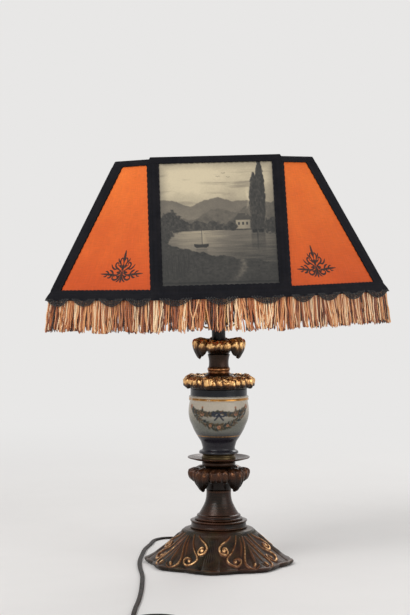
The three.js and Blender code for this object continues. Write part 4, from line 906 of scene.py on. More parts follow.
leaf_places = (0.53, 0.84, 1.0)
capital = [
    [(0, 0), (0.02, 0.3), (0.28, 0.68), (0.58, 0.79), (0.72, 0.74), (0.7, 0.64), (0.61, 0.57), (0.61, 0.5),
     (0.7, 0.44), (0.83, 0.44), (0.94, 0.53), (0.985, 0.68), (0.94, 0.86), (0.74, 0.97), (0.44, 1)],
    [(0, 0), (0.02, 0.3), (0.28, 0.7), (0.6, 0.8), (0.76, 0.62), (0.7, 0.34), (0.52, 0.14), (0.47, 0.03),
     (0.58, -0.01), (0.76, 0.08), (0.92, 0.3), (0.98, 0.58), (0.95, 0.84), (0.74, 0.98), (0.44, 1.02)],
    [(0, 0), (0.02, 0.3), (0.26, 0.6), (0.42, 0.67), (0.55, 0.62), (0.57, 0.54), (0.54, 0.48), (0.55, 0.44),
     (0.62, 0.44), (0.7, 0.48), (0.77, 0.56), (0.8, 0.67), (0.76, 0.79), (0.63, 0.89), (0.42, 0.92)],
]
cast_leaves("leaf_capital", "lower_leaf_capital", leaf_bronze, "antique_bronze", (16, 38.9, 93.9, 28.4),
            capital, [(21.6, 118.3), (bore, 118.3), (bore, 93.9)], count=8, per_leaf=60, sharp=0.7,
            fingers=3, depth=1.5, knob=1.1, at=leaf_places, uneven=0.4, dull=(104, 114))
crown = [
    [(0, 0), (0.12, 0.18), (0.36, 0.46), (0.6, 0.58), (0.76, 0.58), (0.79, 0.48), (0.75, 0.38), (0.75, 0.3),
     (0.81, 0.26), (0.9, 0.3), (0.965, 0.43), (0.975, 0.6), (0.88, 0.76), (0.66, 0.84), (0.4, 0.86)],
    [(0, 0), (0.12, 0.18), (0.38, 0.5), (0.62, 0.58), (0.79, 0.36), (0.78, 0.1), (0.66, -0.1), (0.65, -0.2),
     (0.76, -0.2), (0.9, 0.0), (0.98, 0.28), (0.995, 0.6), (0.9, 0.88), (0.66, 1.02), (0.4, 1.0)],
    [(0, 0), (0.1, 0.18), (0.3, 0.38), (0.48, 0.47), (0.62, 0.45), (0.66, 0.39), (0.66, 0.33), (0.69, 0.29),
     (0.75, 0.29), (0.82, 0.35), (0.865, 0.46), (0.855, 0.6), (0.75, 0.76), (0.56, 0.85), (0.34, 0.87)],
]
cast_leaves("leaf_crown", "upper_leaf_crown", leaf_gilt, "gilt_metal", (13, 34.7, 266.2, 20.8),
            crown, [(9.2, 282.8), (bore, 282.8), (bore, 266.2)], count=6, per_leaf=80, sharp=0.62,
            fingers=3, depth=1.3, knob=1.7, at=leaf_places, uneven=0.6, dull=(267, 278))
cap = [
    [(0, 0), (0.2, 0.14), (0.6, 0.14), (0.9, 0.28), (0.955, 0.46), (0.88, 0.68), (0.64, 0.88), (0.3, 0.98),
     (-0.2, 0.96), (-0.6, 0.86), (-1.2, 0.8)],
    [(0, 0), (0.2, 0.12), (0.66, 0.05), (0.96, 0.22), (1.0, 0.44), (0.93, 0.7), (0.68, 0.92), (0.32, 1.0),
     (-0.2, 0.98), (-0.6, 0.86), (-1.2, 0.8)],
    [(0, 0), (0.2, 0.16), (0.54, 0.19), (0.76, 0.31), (0.81, 0.46), (0.73, 0.65), (0.49, 0.84), (0.16, 0.9),
     (-0.22, 0.9), (-0.6, 0.84), (-1.2, 0.8)],
]
cast_leaves("gilt_cap", "urn_cap", leaf_gilt, "gilt_metal", (35.4, 45.2, 222.4, 17.4),
            cap, [(17.7, 236.2), (bore, 236.2), (bore, 222.4)], count=16, per_leaf=40, sharp=0.55,
            fingers=2, depth=1.1, knob=0.9, at=(0.27, 0.47, 0.97), uneven=1.2, dull=(222, 228), twist=0.7)

# %% [markdown]
# ## The painted urn
# The body of the lamp is a porcelain urn with a cobalt band under its cap, a moulded ring
# in gold and garlands of leaves with small roses. The painting is made by hand-sized
# touches: each touch is a soft-edged oval laid over the glaze, and a garland is a few
# dozen of them along a hanging curve, with a little disorder in place, tilt and colour.


# %% Draw garlands, roses, bows and sprigs
def painted(base, wide, tall, touches):
    """Lays touches over base colours. wide and tall are each point's place in mm round and
    up the urn. A touch is (x, z, half length, half width, tilt, colour, strength)."""
    colour = base.copy()
    for x, z, long, narrow, tilt, tint, strength in touches:
        near = (np.abs(wide - x) < long * 1.6) & (np.abs(tall - z) < long * 1.6)
        dx, dz = wide[near] - x, tall[near] - z
        u = (dx * math.cos(tilt) + dz * math.sin(tilt)) / long
        v = (dz * math.cos(tilt) - dx * math.sin(tilt)) / narrow
        cover = step_up(1.25, 0.8, np.hypot(u, v))[:, None] * strength
        colour[near] = colour[near] * (1 - cover) + np.array(tint) / 255 * cover
    return colour


leaf_greens = [(38, 44, 38), (52, 52, 38), (74, 60, 40), (28, 34, 36), (90, 68, 44)]
rose_tints = [(146, 96, 70), (160, 114, 80), (118, 70, 54), (172, 138, 106), (98, 56, 46)]
sky_tints = [(36, 40, 52), (70, 78, 92), (28, 32, 42)]


def garland(start, end, sag, seed, thick, roses):
    """A garland between two places, hanging by sag in the middle: leaves to both sides of
    the curve, tiny buds, and a few roses where it is fullest."""
    rng = np.random.default_rng(seed)
    wide, tall = end[0] - start[0], end[1] - start[1]
    place = lambda t: (start[0] + wide * t, start[1] + tall * t - sag * 4 * t * (1 - t))
    made = []
    count = int(abs(wide) / 0.75) + 6
    for k in range(count):
        t = (k + rng.uniform(-0.3, 0.3)) / (count - 1)
        x, z = place(t)
        slope = math.atan2(tall - sag * 4 * (1 - 2 * t), wide)
        full = 0.45 + 0.55 * math.sin(math.pi * min(max(t, 0), 1))
        side = 1 if k % 2 else -1
        tilt = slope + side * rng.uniform(0.4, 1.1)
        off = side * thick * full * rng.uniform(0.3, 0.9)
        tint = leaf_greens[rng.integers(len(leaf_greens))]
        made.append((x - off * math.sin(slope), z + off * math.cos(slope),
                     rng.uniform(2.0, 3.2) * full + 0.5, rng.uniform(0.7, 1.2), tilt, tint, 0.85))
        if rng.random() < 0.35:
            tint = (sky_tints + rose_tints)[rng.integers(8)]
            made.append((x + rng.uniform(-1, 1), z + rng.uniform(-2, 2) * full, 0.7, 0.6, 0, tint, 0.9))
    for k in range(roses):
        from_middle = k - (roses - 1) / 2
        made += rose(*place(0.5 + from_middle * 0.14), 2.6 if from_middle == 0 else 1.9, rng)
    return made


def rose(x, z, size, rng):
    """A rose in small: a pale round with darker curved petals and a warm heart."""
    made = [(x, z, size, size * 0.9, 0, rose_tints[1], 0.95)]
    for k in range(6):
        a = k * TURN / 6 + rng.uniform(-0.3, 0.3)
        made.append((x + 0.55 * size * math.cos(a), z + 0.55 * size * math.sin(a), size * 0.42,
                     size * 0.2, a + TURN / 4, rose_tints[(0, 3, 2)[k % 3]], 0.8))
    return made + [(x, z, size * 0.35, size * 0.3, 0, rose_tints[4], 0.9)]


def bow(x, z, size):
    """A ribbon bow: two loops, a knot and two tails in slate blue."""
    made = []
    for side in (-1, 1):
        made += [(x + side * size * (0.55 - 0.5 * math.cos(t)), z + size * 0.28 * math.sin(t) + size * 0.1,
                  size * 0.17, size * 0.11, t, sky_tints[0], 0.9) for t in np.linspace(0, TURN, 15)]
        made += [(x + side * size * 0.7 * t, z - size * 0.8 * t**0.8, size * 0.14, size * 0.09,
                  0.8 * side, sky_tints[2], 0.85) for t in np.linspace(0, 1, 7)]
    return made + [(x, z, size * 0.2, size * 0.16, 0, sky_tints[2], 1.0)]


def sprig(x, z, height, seed):
    """A stem with small leaves on both sides and a bud on top."""
    rng = np.random.default_rng(seed)
    made = []
    for t in np.linspace(0, 1, 9):
        tint = leaf_greens[rng.integers(len(leaf_greens))]
        made += [(x + side * 1.3 * (1.1 - t), z + height * t, 1.2, 0.45, side * 0.9, tint, 0.8)
                 for side in (-1, 1)]
    return made + rose(x, z + height + 0.8, 1.5, rng)


touches = garland((-43, 201), (43, 201), 25, 7, 4.0, 3)
touches += garland((-43, 201), (-1, 196), 6, 8, 2.6, 1)
touches += garland((1, 196), (43, 201), 6, 9, 2.6, 1) + bow(0, 191.5, 8.0)
for x, seed in ((-43, 3), (43, 4)):
    touches += rose(x, 201, 3.2, np.random.default_rng(seed))
for x in (-22, 22):
    touches += sprig(x, 193, 7, x + 60)
print("touches of paint:", len(touches))

# %% [markdown]
# ### The urn's shape and colours
# The side is one smooth line for the belly and one for the moulded ring above it. Colour
# is laid on the points themselves: washes that pass into each other at a wavering height,
# then the touches, then gold on two lines and the cobalt band.

# %% Turn and paint the urn
urn_out = [(0.26, 0), (0.25, 0.02), (0.2, 0.034), (0.06, 0.05), (0.015, 0.075), (0.04, 0.11), (0.14, 0.18),
           (0.3, 0.235), (0.48, 0.3), (0.64, 0.365), (0.76, 0.43), (0.88, 0.49), (0.955, 0.55), (0.99, 0.6),
           (1, 0.64), (0.99, 0.69), (0.965, 0.74), (0.93, 0.785), (0.915, 0.805)]
ring_out = [(0.93, 0.815), (0.965, 0.825), (0.975, 0.84), (0.965, 0.853), (0.945, 0.858), (0.965, 0.865),
            (0.97, 0.875), (0.95, 0.886), (0.9, 0.892), (0.865, 0.9), (0.86, 0.94), (0.86, 0.99),
            (0.855, 1.0)]
urn_side = np.concatenate([smooth_line(urn_out, 9), smooth_line(ring_out, 4)])
urn_side = np.stack([20.3 + 18.1 * urn_side[:, 0], 140.5 + 81.6 * urn_side[:, 1]], 1)
urn_profile = np.concatenate([urn_side, [(28, 222.1), (bore, 222.1), (bore, 140.5), (20, 140.5)]])
urn_angle = np.arange(440) / 440 * TURN
urn_grid = carried_round(urn_profile, urn_angle) * MM
from_front = (urn_angle + TURN / 4 + TURN / 2) % TURN - TURN / 2
urn_radius = 38
half_round = TURN / 4 * urn_radius
wide = np.tile((from_front * urn_radius)[:, None], (1, len(urn_profile)))
wide = (wide + half_round) % (2 * half_round) - half_round
tall = np.tile(urn_profile[:, 1], (440, 1))
glaze, belly, slate, cobalt = (np.array(c) / 255 for c in ((180, 170, 154), (104, 104, 96), (32, 30, 36),
                                                           (6, 8, 19)))


def washed(under, over, low, high):
    """One colour passing into another between two heights, with a wavering edge."""
    wavering = tall + 4 * (cloud(wide / 9 + 40, tall / 9, 5) - 0.5)
    share = step_up(low, high, wavering)[..., None]
    return under * (1 - share) + over * share


base = painted(washed(washed(slate, belly, 158, 172), glaze, 176, 201), wide, tall, touches)
in_gold = np.zeros_like(tall)
for low, high in ((208.6, 211.4), (162.8, 163.4)):
    line = step_up(low - 0.35, low + 0.25, tall) * step_up(high + 0.35, high - 0.25, tall)
    in_gold = np.maximum(in_gold, line)
in_gold *= step_up(0.18, 0.34, cloud(wide / 3 + 60, tall / 3 + 60, 21))
in_band = step_up(213.4, 214.2, tall)[..., None]
base = base * (1 - in_band) + cobalt * in_band
paint = np.concatenate([straight(base), np.ones_like(base[..., :1])], -1)


def porcelain_finish():
    """Glazed porcelain: the painting under a clear coat, gilding on its lines, and fine
    crazing that only shows close by."""
    material, tree, shader = start_finish("painted porcelain", Coat_Weight=0.12, Coat_Roughness=0.1,
                                          Specular_IOR_Level=0.25)
    place, gilded = own_place(tree), attribute(tree, "gilded")
    patches = use(tree, mottle, Vector=place, Scale=70.0, Low=0.35, High=0.7)
    craze = add(tree, "TexVoronoi", {"Vector": place, "Scale": 260.0}, feature="DISTANCE_TO_EDGE")
    line = spread(tree, craze.outputs["Distance"], 0.0, 0.025, 0.82, 1.0)
    aged = mix(tree, 1.0, attribute(tree, "paint", "Color"), line, "MULTIPLY")
    worn = mix(tree, patches["Mask"], rgb(122, 80, 34), rgb(206, 152, 78))
    feed(tree, shader, mix(tree, gilded, aged, worn), patches["Fine"], (0.18, 0.34), (0.06, 0.0004),
         Metallic=maths(tree, "MULTIPLY", gilded, 0.9))
    return material


urn = grid_piece("painted_urn", urn_grid, porcelain_finish(), (True, True),
                 values={"paint": paint, "gilded": in_gold})
seat(urn, "stand", "glazed_porcelain", "porcelain_urn")
print("urn points:", urn_grid.shape[:2])

# %% [markdown]
# ## Where the shade stands
# The shade has six flat sides: a wide front and back, and two slanting panels that meet in
# a vertex on the left and on the right. Everything on it is placed by two functions: one
# gives the six corners at a height, a little in or out from the outer face, and the other
# walks along a side. The shade leans a little to the left and sits a little turned on its
# harp, as it does in the picture, so every point is turned and leaned at the end.


# %% Place points on the shade
shade_top, shade_bottom = 512.5, 342.5
depth_bottom, depth_top, flat_half, vertex_bottom = 118, 38, 82, 216


def corners_at(height, inset):
    """The six corners at heights in mm, inset by so many mm. The depth shrinks evenly up
    the shade, and the vertices draw in with it, so that every side stays flat."""
    height, inset = np.broadcast_arrays(np.asarray(height, float), np.asarray(inset, float))
    up = (height - shade_bottom) / (shade_top - shade_bottom)
    depth = depth_bottom + (depth_top - depth_bottom) * up
    vertex = flat_half + (vertex_bottom - flat_half) / depth_bottom * depth
    length = np.hypot(depth, vertex - flat_half)
    nx, ny = depth / length, (vertex - flat_half) / length
    reach = nx * vertex - inset
    y = depth - inset
    corner = (reach - ny * y) / nx
    tip, zero = reach / nx, np.zeros_like(y)
    places = [(-corner, -y), (corner, -y), (tip, zero), (corner, y), (-corner, y), (-tip, zero)]
    return np.stack([np.stack([px, py, height], -1) for px, py in places], -2)


def on_side(side, share, height, inset, margin=0.0):
    """Places on a side: share runs from 0 at its first corner to 1 at its second, with a
    margin in mm left at both ends."""
    corners = corners_at(height, inset)
    a, b = corners[..., side, :], corners[..., (side + 1) % 6, :]
    length = np.linalg.norm(b - a, axis=-1)
    t = margin / length + np.asarray(share) * (1 - 2 * margin / length)
    return a + (b - a) * t[..., None]


def shade_place(points):
    """Turns a point of the upright shade by two degrees, leans it by 1.55 degrees about the
    top of the crown, and turns millimetres into metres."""
    turned, lean, pivot = 2 * DEGREE, 1.55 * DEGREE, 283.333
    x = points[..., 0] * math.cos(turned) - points[..., 1] * math.sin(turned)
    y = points[..., 0] * math.sin(turned) + points[..., 1] * math.cos(turned)
    z = points[..., 2] - pivot
    leaned = [x * math.cos(lean) - z * math.sin(lean), y, x * math.sin(lean) + z * math.cos(lean) + pivot]
    return np.stack(leaned, -1) * MM


print("the front's lower edge in mm:", np.round(shade_place(corners_at(shade_bottom, 0.0))[0] / MM, 1))

# %% [markdown]
# ## Lithophanes
# A lithophane is a thin plate of unglazed porcelain whose picture is its thickness: thin
# places glow, thick places stay dark. This one is a made-up lake valley, with hills, a
# cottage, two poplars, reeds and a small boat. It is drawn as a height field: for every
# point of the plate the layers are laid from the sky forwards, and the tone that comes out
# also presses the surface in or out.


# %% Draw the layers of a picture
def lay(tone, mask, value):
    """Lays a new tone over the old one where the mask is 1."""
    return tone * (1 - mask) + value * mask


def within(value, soft=0.3):
    """1 where the value is below zero and 0 above it, with a soft edge."""
    return step_up(soft, -soft, value)


def block(x, z, middle_x, middle_z, half_x, half_z, soft=0.3):
    return within(np.maximum(np.abs(x - middle_x) - half_x, np.abs(z - middle_z) - half_z), soft)


def grainy(middle, range_, x, z, seed, layers=5):
    """A tone that wanders round its middle value."""
    return middle + range_ * (cloud(x, z, seed, layers) - 0.5)


def ridge(x, base, rise, scale, seed):
    """A skyline: a base height plus layered noise along x."""
    return grainy(base, 2 * rise, x * scale + seed, x * 0 + seed * 1.7, seed, 6)


def bushes(tone, x, z, places, ragged, middle, contrast, leaf):
    """Round leafy masses, each a middle, two radii and a seed: ovals with broken edges."""
    for middle_x, middle_z, radius_x, radius_z, seed in places:
        away = np.hypot((x - middle_x) / radius_x, (z - middle_z) / radius_z)
        away = away + grainy(0, 2 * ragged, x / 4 + seed, z / 4 + seed, seed)
        leaves = grainy(middle, contrast, x / leaf + seed, z / leaf, seed, 4)
        tone = lay(tone, step_up(1.12, 0.86, away), leaves)
    return tone


picture_tall = 152


def front_valley(x, z):
    """The tone from 0, dark, to 1, bright, at x and z in mm from the plate's lower middle."""
    grain = cloud(x / 16 + 90, z / 9 + 90, 31, 6) - 0.5
    tone = 0.62 + 0.30 * step_up(0.35, 0.95, z / picture_tall) + 0.16 * grain
    tone = tone + 0.14 * np.exp(-(((x + 34) / 46) ** 2 + ((z - 128) / 30) ** 2))
    streak = step_up(0.5, 0.75, cloud(x / 40 + 7, z / 5 + 7, 32))
    tone = tone - 0.2 * streak * step_up(0.5, 0.8, z / picture_tall)
    far = within(z - ridge(x, 103, 13, 1 / 34, 33), 0.8)
    tone = lay(tone, far, 0.55 + 0.12 * grain - 0.06 * step_up(80, 104, z))
    hills = within(z - ridge(x + 30, 90, 12, 1 / 26, 34) - 0.12 * x, 0.8)
    tone = lay(tone, hills, grainy(0.42, 0.22, x / 5, z / 4, 35))
    woods = within(z - ridge(x * 1.3, 76, 6, 1 / 9, 36), 0.6)
    tone = lay(tone, woods, grainy(0.28, 0.3, x / 2.4, z / 2.4, 37, 4))
    lake = within(z - grainy(66, 2, x / 14, x * 0, 38, 4), 0.4)
    ripple = grainy(0.5, 0.26, x / 22 + 3, z / 1.6 + 3, 39, 4)
    tone = lay(tone, lake, ripple + 0.28 * np.exp(-((x + 26) / 34) ** 2) - 0.1 * step_up(60, 30, z))
    bank = within(z - ridge(x + 9, 33, 7, 1 / 20, 40) + 0.0035 * (x - 10) * np.abs(x - 10), 0.7)
    earth = grainy(0.26, 0.36, x / 3 + 50, z / 2 + 50, 41)
    path_x = 12 + 18 * np.sin(z / 15)
    tone = lay(tone, bank, earth + 0.26 * np.exp(-((x - path_x) / (3 + (34 - z) * 0.16)) ** 2))
    tone = lay(tone, block(x, z, 31, 72.5, 9, 5.5), 0.72 - 0.1 * step_up(31, 40, x))
    roof = within(np.maximum(np.abs(x - 31) - 12 + (z - 78) * 0.75, np.abs(z - 82) - 4))
    tone = lay(tone, roof, 0.3 + 0.08 * np.cos(z * 4))
    tone = lay(tone, block(x, z, 35.5, 86.5, 1.3, 3.2, 0.2), 0.4)
    for window_x in (26, 31, 36):
        tone = lay(tone, block(x, z, window_x, 73.5, 1.1, 1.7, 0.2), 0.2)
    rise = z - 90
    smoke = np.exp(-((x - 35.5 - 2.2 * np.sin(rise / 6) - rise * 0.16) / (0.8 + rise * 0.07)) ** 2)
    tone = tone + 0.14 * smoke * step_up(89, 93, z) * step_up(124, 104, z)
    for tree_x, high, half, seed in ((53, 92, 6.5, 51), (45, 76, 5.4, 52)):
        t = np.clip((z - 62) / high, 0, 1)
        width = half * (np.sin(np.pi * np.clip(t * 0.92 + 0.08, 0, 1)) ** 0.6) + 0.2
        width = width + grainy(0, 2.6, x / 2.2 + seed, z / 3 + seed, seed, 4)
        tree = within(np.abs(x - tree_x - 1.5 * t) - width, 0.7)
        tree = tree * step_up(61, 63, z) * step_up(62 + high, 60 + high, z)
        leaves = grainy(0.2, 0.34, x / 1.6 + seed, z / 2.6, seed + 9, 3)
        tone = lay(tone, tree, leaves + 0.1 * step_up(tree_x, tree_x - half, x))
        tone = tone - 0.16 * within(np.abs(x - tree_x) - half * 0.8, 1.2) * lake * step_up(30, 64, z)
    tone = bushes(tone, x, z, ((-60, 78, 13, 12, 61), (-49, 72, 10, 8, 62), (-66, 62, 10, 9, 63),
                               (66, 70, 9, 9, 64), (17, 70, 6.5, 4.5, 65)), 0.5, 0.22, 0.4, 2)
    hull_side = np.abs(x + 22) - 9 + np.maximum(0, 47 - z) * 1.4
    tone = lay(tone, within(np.maximum(hull_side, np.abs(z - 47.2) - 1.9 - ((x + 22) / 11) ** 2)), 0.16)
    sail = within(np.maximum(x + 20.4 - (67 - z) * 0.42, -(x + 20.4)))
    sail = sail * step_up(50, 50.5, z) * step_up(67, 66.4, z)
    tone = lay(tone, sail, 0.84 - 0.1 * step_up(-20, -14, x))
    mast = step_up(0.25, -0.15, np.abs(x + 21) - 0.35) * step_up(47, 48, z) * step_up(68, 67, z)
    tone = lay(tone, mast, 0.2)
    tone = tone - 0.14 * within(np.abs(x + 22) - 7, 1.4) * step_up(45, 43, z) * step_up(30, 42, z)
    rng = np.random.default_rng(71)
    for _ in range(46):
        foot_x, high = rng.normal(-52, 13), rng.uniform(12, 27)
        sway, foot_z = rng.normal(0, 0.16), 8 + rng.uniform(0, 14)
        t = (z - foot_z) / high
        blade = step_up(0.5, 0.1, np.abs(x - foot_x - sway * high * t**2) - 0.25 * (1 - t))
        tone = lay(tone, 0.75 * blade * step_up(-0.02, 0.02, t) * step_up(1.02, 0.98, t), 0.14)
    for bird_x, bird_z in ((2, 132), (9, 136), (15, 131)):
        away = np.abs(x - bird_x)
        wing = np.abs(z - bird_z - 1.1 * np.sin(away)) + 9 * step_up(2.4, 2.8, away)
        tone = tone - 0.3 * step_up(0.55, 0.2, wing)
    return tone


def back_valley(x, z):
    """Another made-up view: a mill by a stream, a round tree and a snowy range."""
    tone = grainy(0.66, 0.2, x / 14 + 9, z / 9 + 9, 131, 6) + 0.26 * step_up(0.4, 1, z / picture_tall)
    peaks = within(z - ridge(x, 112, 24, 1 / 30, 133), 0.8)
    tone = lay(tone, peaks, grainy(0.6, 0.3, x / 6 + z / 9, z / 12, 134))
    hills = within(z - ridge(x, 84, 10, 1 / 22, 135), 0.8)
    tone = lay(tone, hills, grainy(0.4, 0.2, x / 4, z / 4, 136))
    field = within(z - 62 - 3 * np.sin(x / 30), 0.6)
    tone = lay(tone, field, grainy(0.32, 0.3, x / 6, z / 1.8, 137))
    stream_x = -8 + 30 * np.sin(z / 22) * (1 - z / 70)
    stream = np.exp(-((x - stream_x) / (3 + (62 - z) * 0.22)) ** 2) * field
    tone = tone + 0.4 * stream * grainy(0.7, 0.6, x / 9, z / 1.4, 138, 4)
    mill = within(np.maximum(np.abs(x + 40) - 8 + (z - 60) * 0.06, np.abs(z - 74) - 15))
    tone = lay(tone, mill, 0.62 - 0.2 * step_up(-40, -33, x))
    cone = within(np.maximum(np.abs(x + 40) - 8 + (z - 89) * 0.8, np.abs(z - 94) - 5))
    tone = lay(tone, cone, 0.26)
    for k in range(4):
        a = 0.5 + k * TURN / 4
        u = (x + 40) * math.cos(a) + (z - 88) * math.sin(a)
        v = (z - 88) * math.cos(a) - (x + 40) * math.sin(a)
        arm = step_up(0.4, 0.1, np.abs(v - 1) - 1.3) * step_up(0, 1, u) * step_up(22, 21, u)
        tone = lay(tone, arm, 0.3 + 0.12 * np.cos(u * 2.4))
    tone = bushes(tone, x, z, ((44, 98, 24, 26, 161), (30, 88, 14, 14, 162), (60, 84, 14, 16, 163),
                               (-66, 60, 10, 9, 164)), 0.6, 0.2, 0.42, 2.4)
    trunk = within(np.abs(x - 44 - np.sin(z / 9)) - 2.2 - 2 * step_up(52, 36, z), 0.5)
    return lay(tone, trunk * step_up(34, 36, z) * step_up(86, 80, z), 0.14)


print("two pictures are drawn")

# %% [markdown]
# ### From a picture to a plate
# The plate sits behind the tapes. Its face is pushed out where the tone is dark, because
# dark means thick; the back is plain. The rim outside the picture is plain and thick.


# %% Cast the plates
def bisque_finish():
    """Unglazed porcelain whose colour is painted light: dark where thick and warm grey where
    thin, as the plate looks with light shining through it.
    """
    material, tree, shader = start_finish("bisque porcelain", Specular_IOR_Level=0.35)
    fine = use(tree, mottle, Vector=own_place(tree), Scale=60.0)["Fine"]
    tone = maths(tree, "MULTIPLY_ADD", maths(tree, "SUBTRACT", fine, 0.5), 0.12, attribute(tree, "tone"))
    steps = [(0.0, rgb(22, 23, 23)), (0.25, rgb(58, 56, 52)), (0.5, rgb(106, 99, 88)),
             (0.75, rgb(153, 142, 121)), (1.0, rgb(202, 188, 158))]
    feed(tree, shader, ramp(tree, tone, steps), fine, (0.42, 0.58), (0.08, 0.0003))
    return material


bisque = bisque_finish()
panel_low, panel_high, panel_margin = 343.7, 511.3, 2.6
plate_face, plate_back, picture_low = 1.85, 3.7, 356
frame_side, frame_low, frame_high = 7.5, 2.5, 151.6


def lithophane(name, node, side, picture, facing):
    """The picture is seen from outside, so on the back of the shade x runs the other way."""
    height, along = np.meshgrid(np.linspace(panel_low, panel_high, 316), np.linspace(0, 1, 280),
                                indexing="ij")
    x = on_side(side, along, height, plate_face, panel_margin)[..., 0] * facing
    z = height - picture_low
    corner = on_side(side, 1.0, height, plate_face, panel_margin)[..., 0] * facing
    edge = np.minimum(corner - np.abs(x) - frame_side, np.minimum(z - frame_low, frame_high - z))
    # Painted light: the tone becomes the plate's colour, bright where light would shine through thin
    # porcelain and dark where it is thick. shading adds painted shade near the frame and towards the
    # bottom.
    tone = picture(x * 1.02, z) * (1 - 0.55 * step_up(1.6, 0.4, np.abs(edge - 0.4)))
    shading = (0.82 + 0.18 * step_up(0.0, 14, edge)) * (0.66 + 0.34 * step_up(6, 96, z))
    tone = np.clip(tone * shading, 0.04, 1)
    pushed = 0.55 * np.clip((0.55 - tone) * step_up(0, 2, edge) + 0.1, -0.9, 0.9)
    face = on_side(side, along, height, plate_face - pushed, panel_margin)
    rear = on_side(side, along[:, ::-1], height, plate_back, panel_margin)
    grid = shade_place(np.concatenate([face, rear[:, ::12], rear[:, -1:]], 1))
    tones = np.full(grid.shape[:2], 0.6)
    tones[:, : tone.shape[1]] = tone
    piece = grid_piece(name, grid, bisque, (False, True), values={"tone": tones}, caps=True)
    seat(piece, "shade", "bisque_porcelain", node)
    print(name, "points:", grid.shape[:2])


lithophane("valley_lithophane", "front_lithophane", 0, front_valley, 1)
lithophane("mill_lithophane", "back_lithophane", 3, back_valley, -1)

# %% [markdown]
# ## Amber panels
# The four slanting panels are amber silk drawn tight over a thin stiff backing. Each is a
# flat sheet with the faint pucker that cloth has where it is held at its edges. The cloth
# is lighter towards the top and darker towards the bottom.


# %% Stretch the silk
def silk_finish():
    """Silk seen close: fine slubs along the weave, laid by the panel's own map, stains in
    patches, and a colour that grows lighter towards the top."""
    material, tree, shader = start_finish("amber silk", Specular_IOR_Level=0.3, Sheen_Weight=0.35,
                                          Sheen_Roughness=0.45, Sheen_Tint=rgb(255, 190, 120))
    mapped = map_place(tree)
    warp, weft = (add(tree, "Mapping", {"Vector": mapped, "Scale": stretch}).outputs[0]
                  for stretch in ((900.0, 60.0, 1.0), (50.0, 1100.0, 1.0)))
    up, over = noise(tree, warp, 1.0, 3.0), noise(tree, weft, 1.0, 3.0)
    weave = maths(tree, "MULTIPLY_ADD", up, 0.5, maths(tree, "MULTIPLY", over, 0.5))
    patches = use(tree, mottle, Vector=own_place(tree), Scale=22.0, Low=0.3, High=0.72)
    height = add(tree, "SeparateXYZ", {0: mapped}).outputs[1]
    low = mix(tree, patches["Mask"], rgb(196, 74, 22), rgb(210, 84, 27))
    high = mix(tree, patches["Mask"], rgb(226, 102, 33), rgb(238, 117, 41))
    body = mix(tree, spread(tree, height, 0.02, 0.15), low, high)
    slub = grey(tree, spread(tree, weave, 0.38, 0.62, 0.88, 1.08))
    feed(tree, shader, mix(tree, 1.0, body, slub, "MULTIPLY"), patches["Fine"], (0.55, 0.7),
         (0.25, 0.0003), weave)
    return material


amber = silk_finish()
silk_face, silk_back, side_slope = 1.6, 2.7, 0.943


def silk_swell(side, along, height):
    """How far the cloth stands out, in mm: pucker that fades away from the edges where it
    is held, and a little slack in the middle."""
    edge = np.minimum(along, 1 - along) * 14
    ripple = np.exp(-edge) * np.cos(height / 2.3 + 2 * np.sin(height / 17)) * 0.10
    ends = np.minimum(height - panel_low, panel_high - height)
    ripple = ripple + np.exp(-ends / 9) * np.cos(along * 60 + side) * 0.10
    slack = 0.25 * (cloud(along * 3 + side, height / 60, 80 + side, 3) - 0.5)
    return np.clip(ripple + slack, -0.25, 0.25)


def silk_panel(side, node):
    """A slanting side as a closed sheet whose back follows its face at an even distance.
    Its map gives every point its place on the flat cloth, in metres."""
    height, along = np.meshgrid(np.linspace(panel_low, panel_high, 100), np.linspace(0, 1, 90),
                                indexing="ij")
    out = silk_swell(side, along, height)
    face, rear = (on_side(side, along, height, inset - out, panel_margin)
                  for inset in (silk_face, silk_back))
    grid = shade_place(np.concatenate([face, rear[:, ::-1]], 1))
    piece = grid_piece(f"amber_silk_{side}", grid, amber, (False, True), caps=True)
    last, middle = along.shape[1] - 1, along.shape[1] // 2
    widths = [float(np.linalg.norm(grid[k, last] - grid[k, 0])) for k in (0, -1)]
    upward = np.tile((height - panel_low) * MM / side_slope, 2)
    flat = np.stack([np.concatenate([along, along[:, ::-1]], 1) * widths[0], upward], -1).reshape(-1, 2)
    index = np.zeros(len(piece.data.loops), np.int32)
    piece.data.loops.foreach_get("vertex_index", index)
    piece.data.uv_layers["map"].data.foreach_set("uv", flat[index].astype(np.float32).ravel())
    seat(piece, "shade", "amber_silk", node)


silk_sides = (1, 2, 4, 5)
for side in silk_sides:
    silk_panel(side, f"amber_panel_{side}")
print("silk panels:", len(silk_sides))

# %% [markdown]
# ## Black tapes
# Woven black tape covers every edge of the shade. It is folded over the corners and sewn,
# and its edge has tiny picot loops, which show against the porcelain as a fine scallop.
# A tape is a thin closed band whose edge lines wave by almost a millimetre.


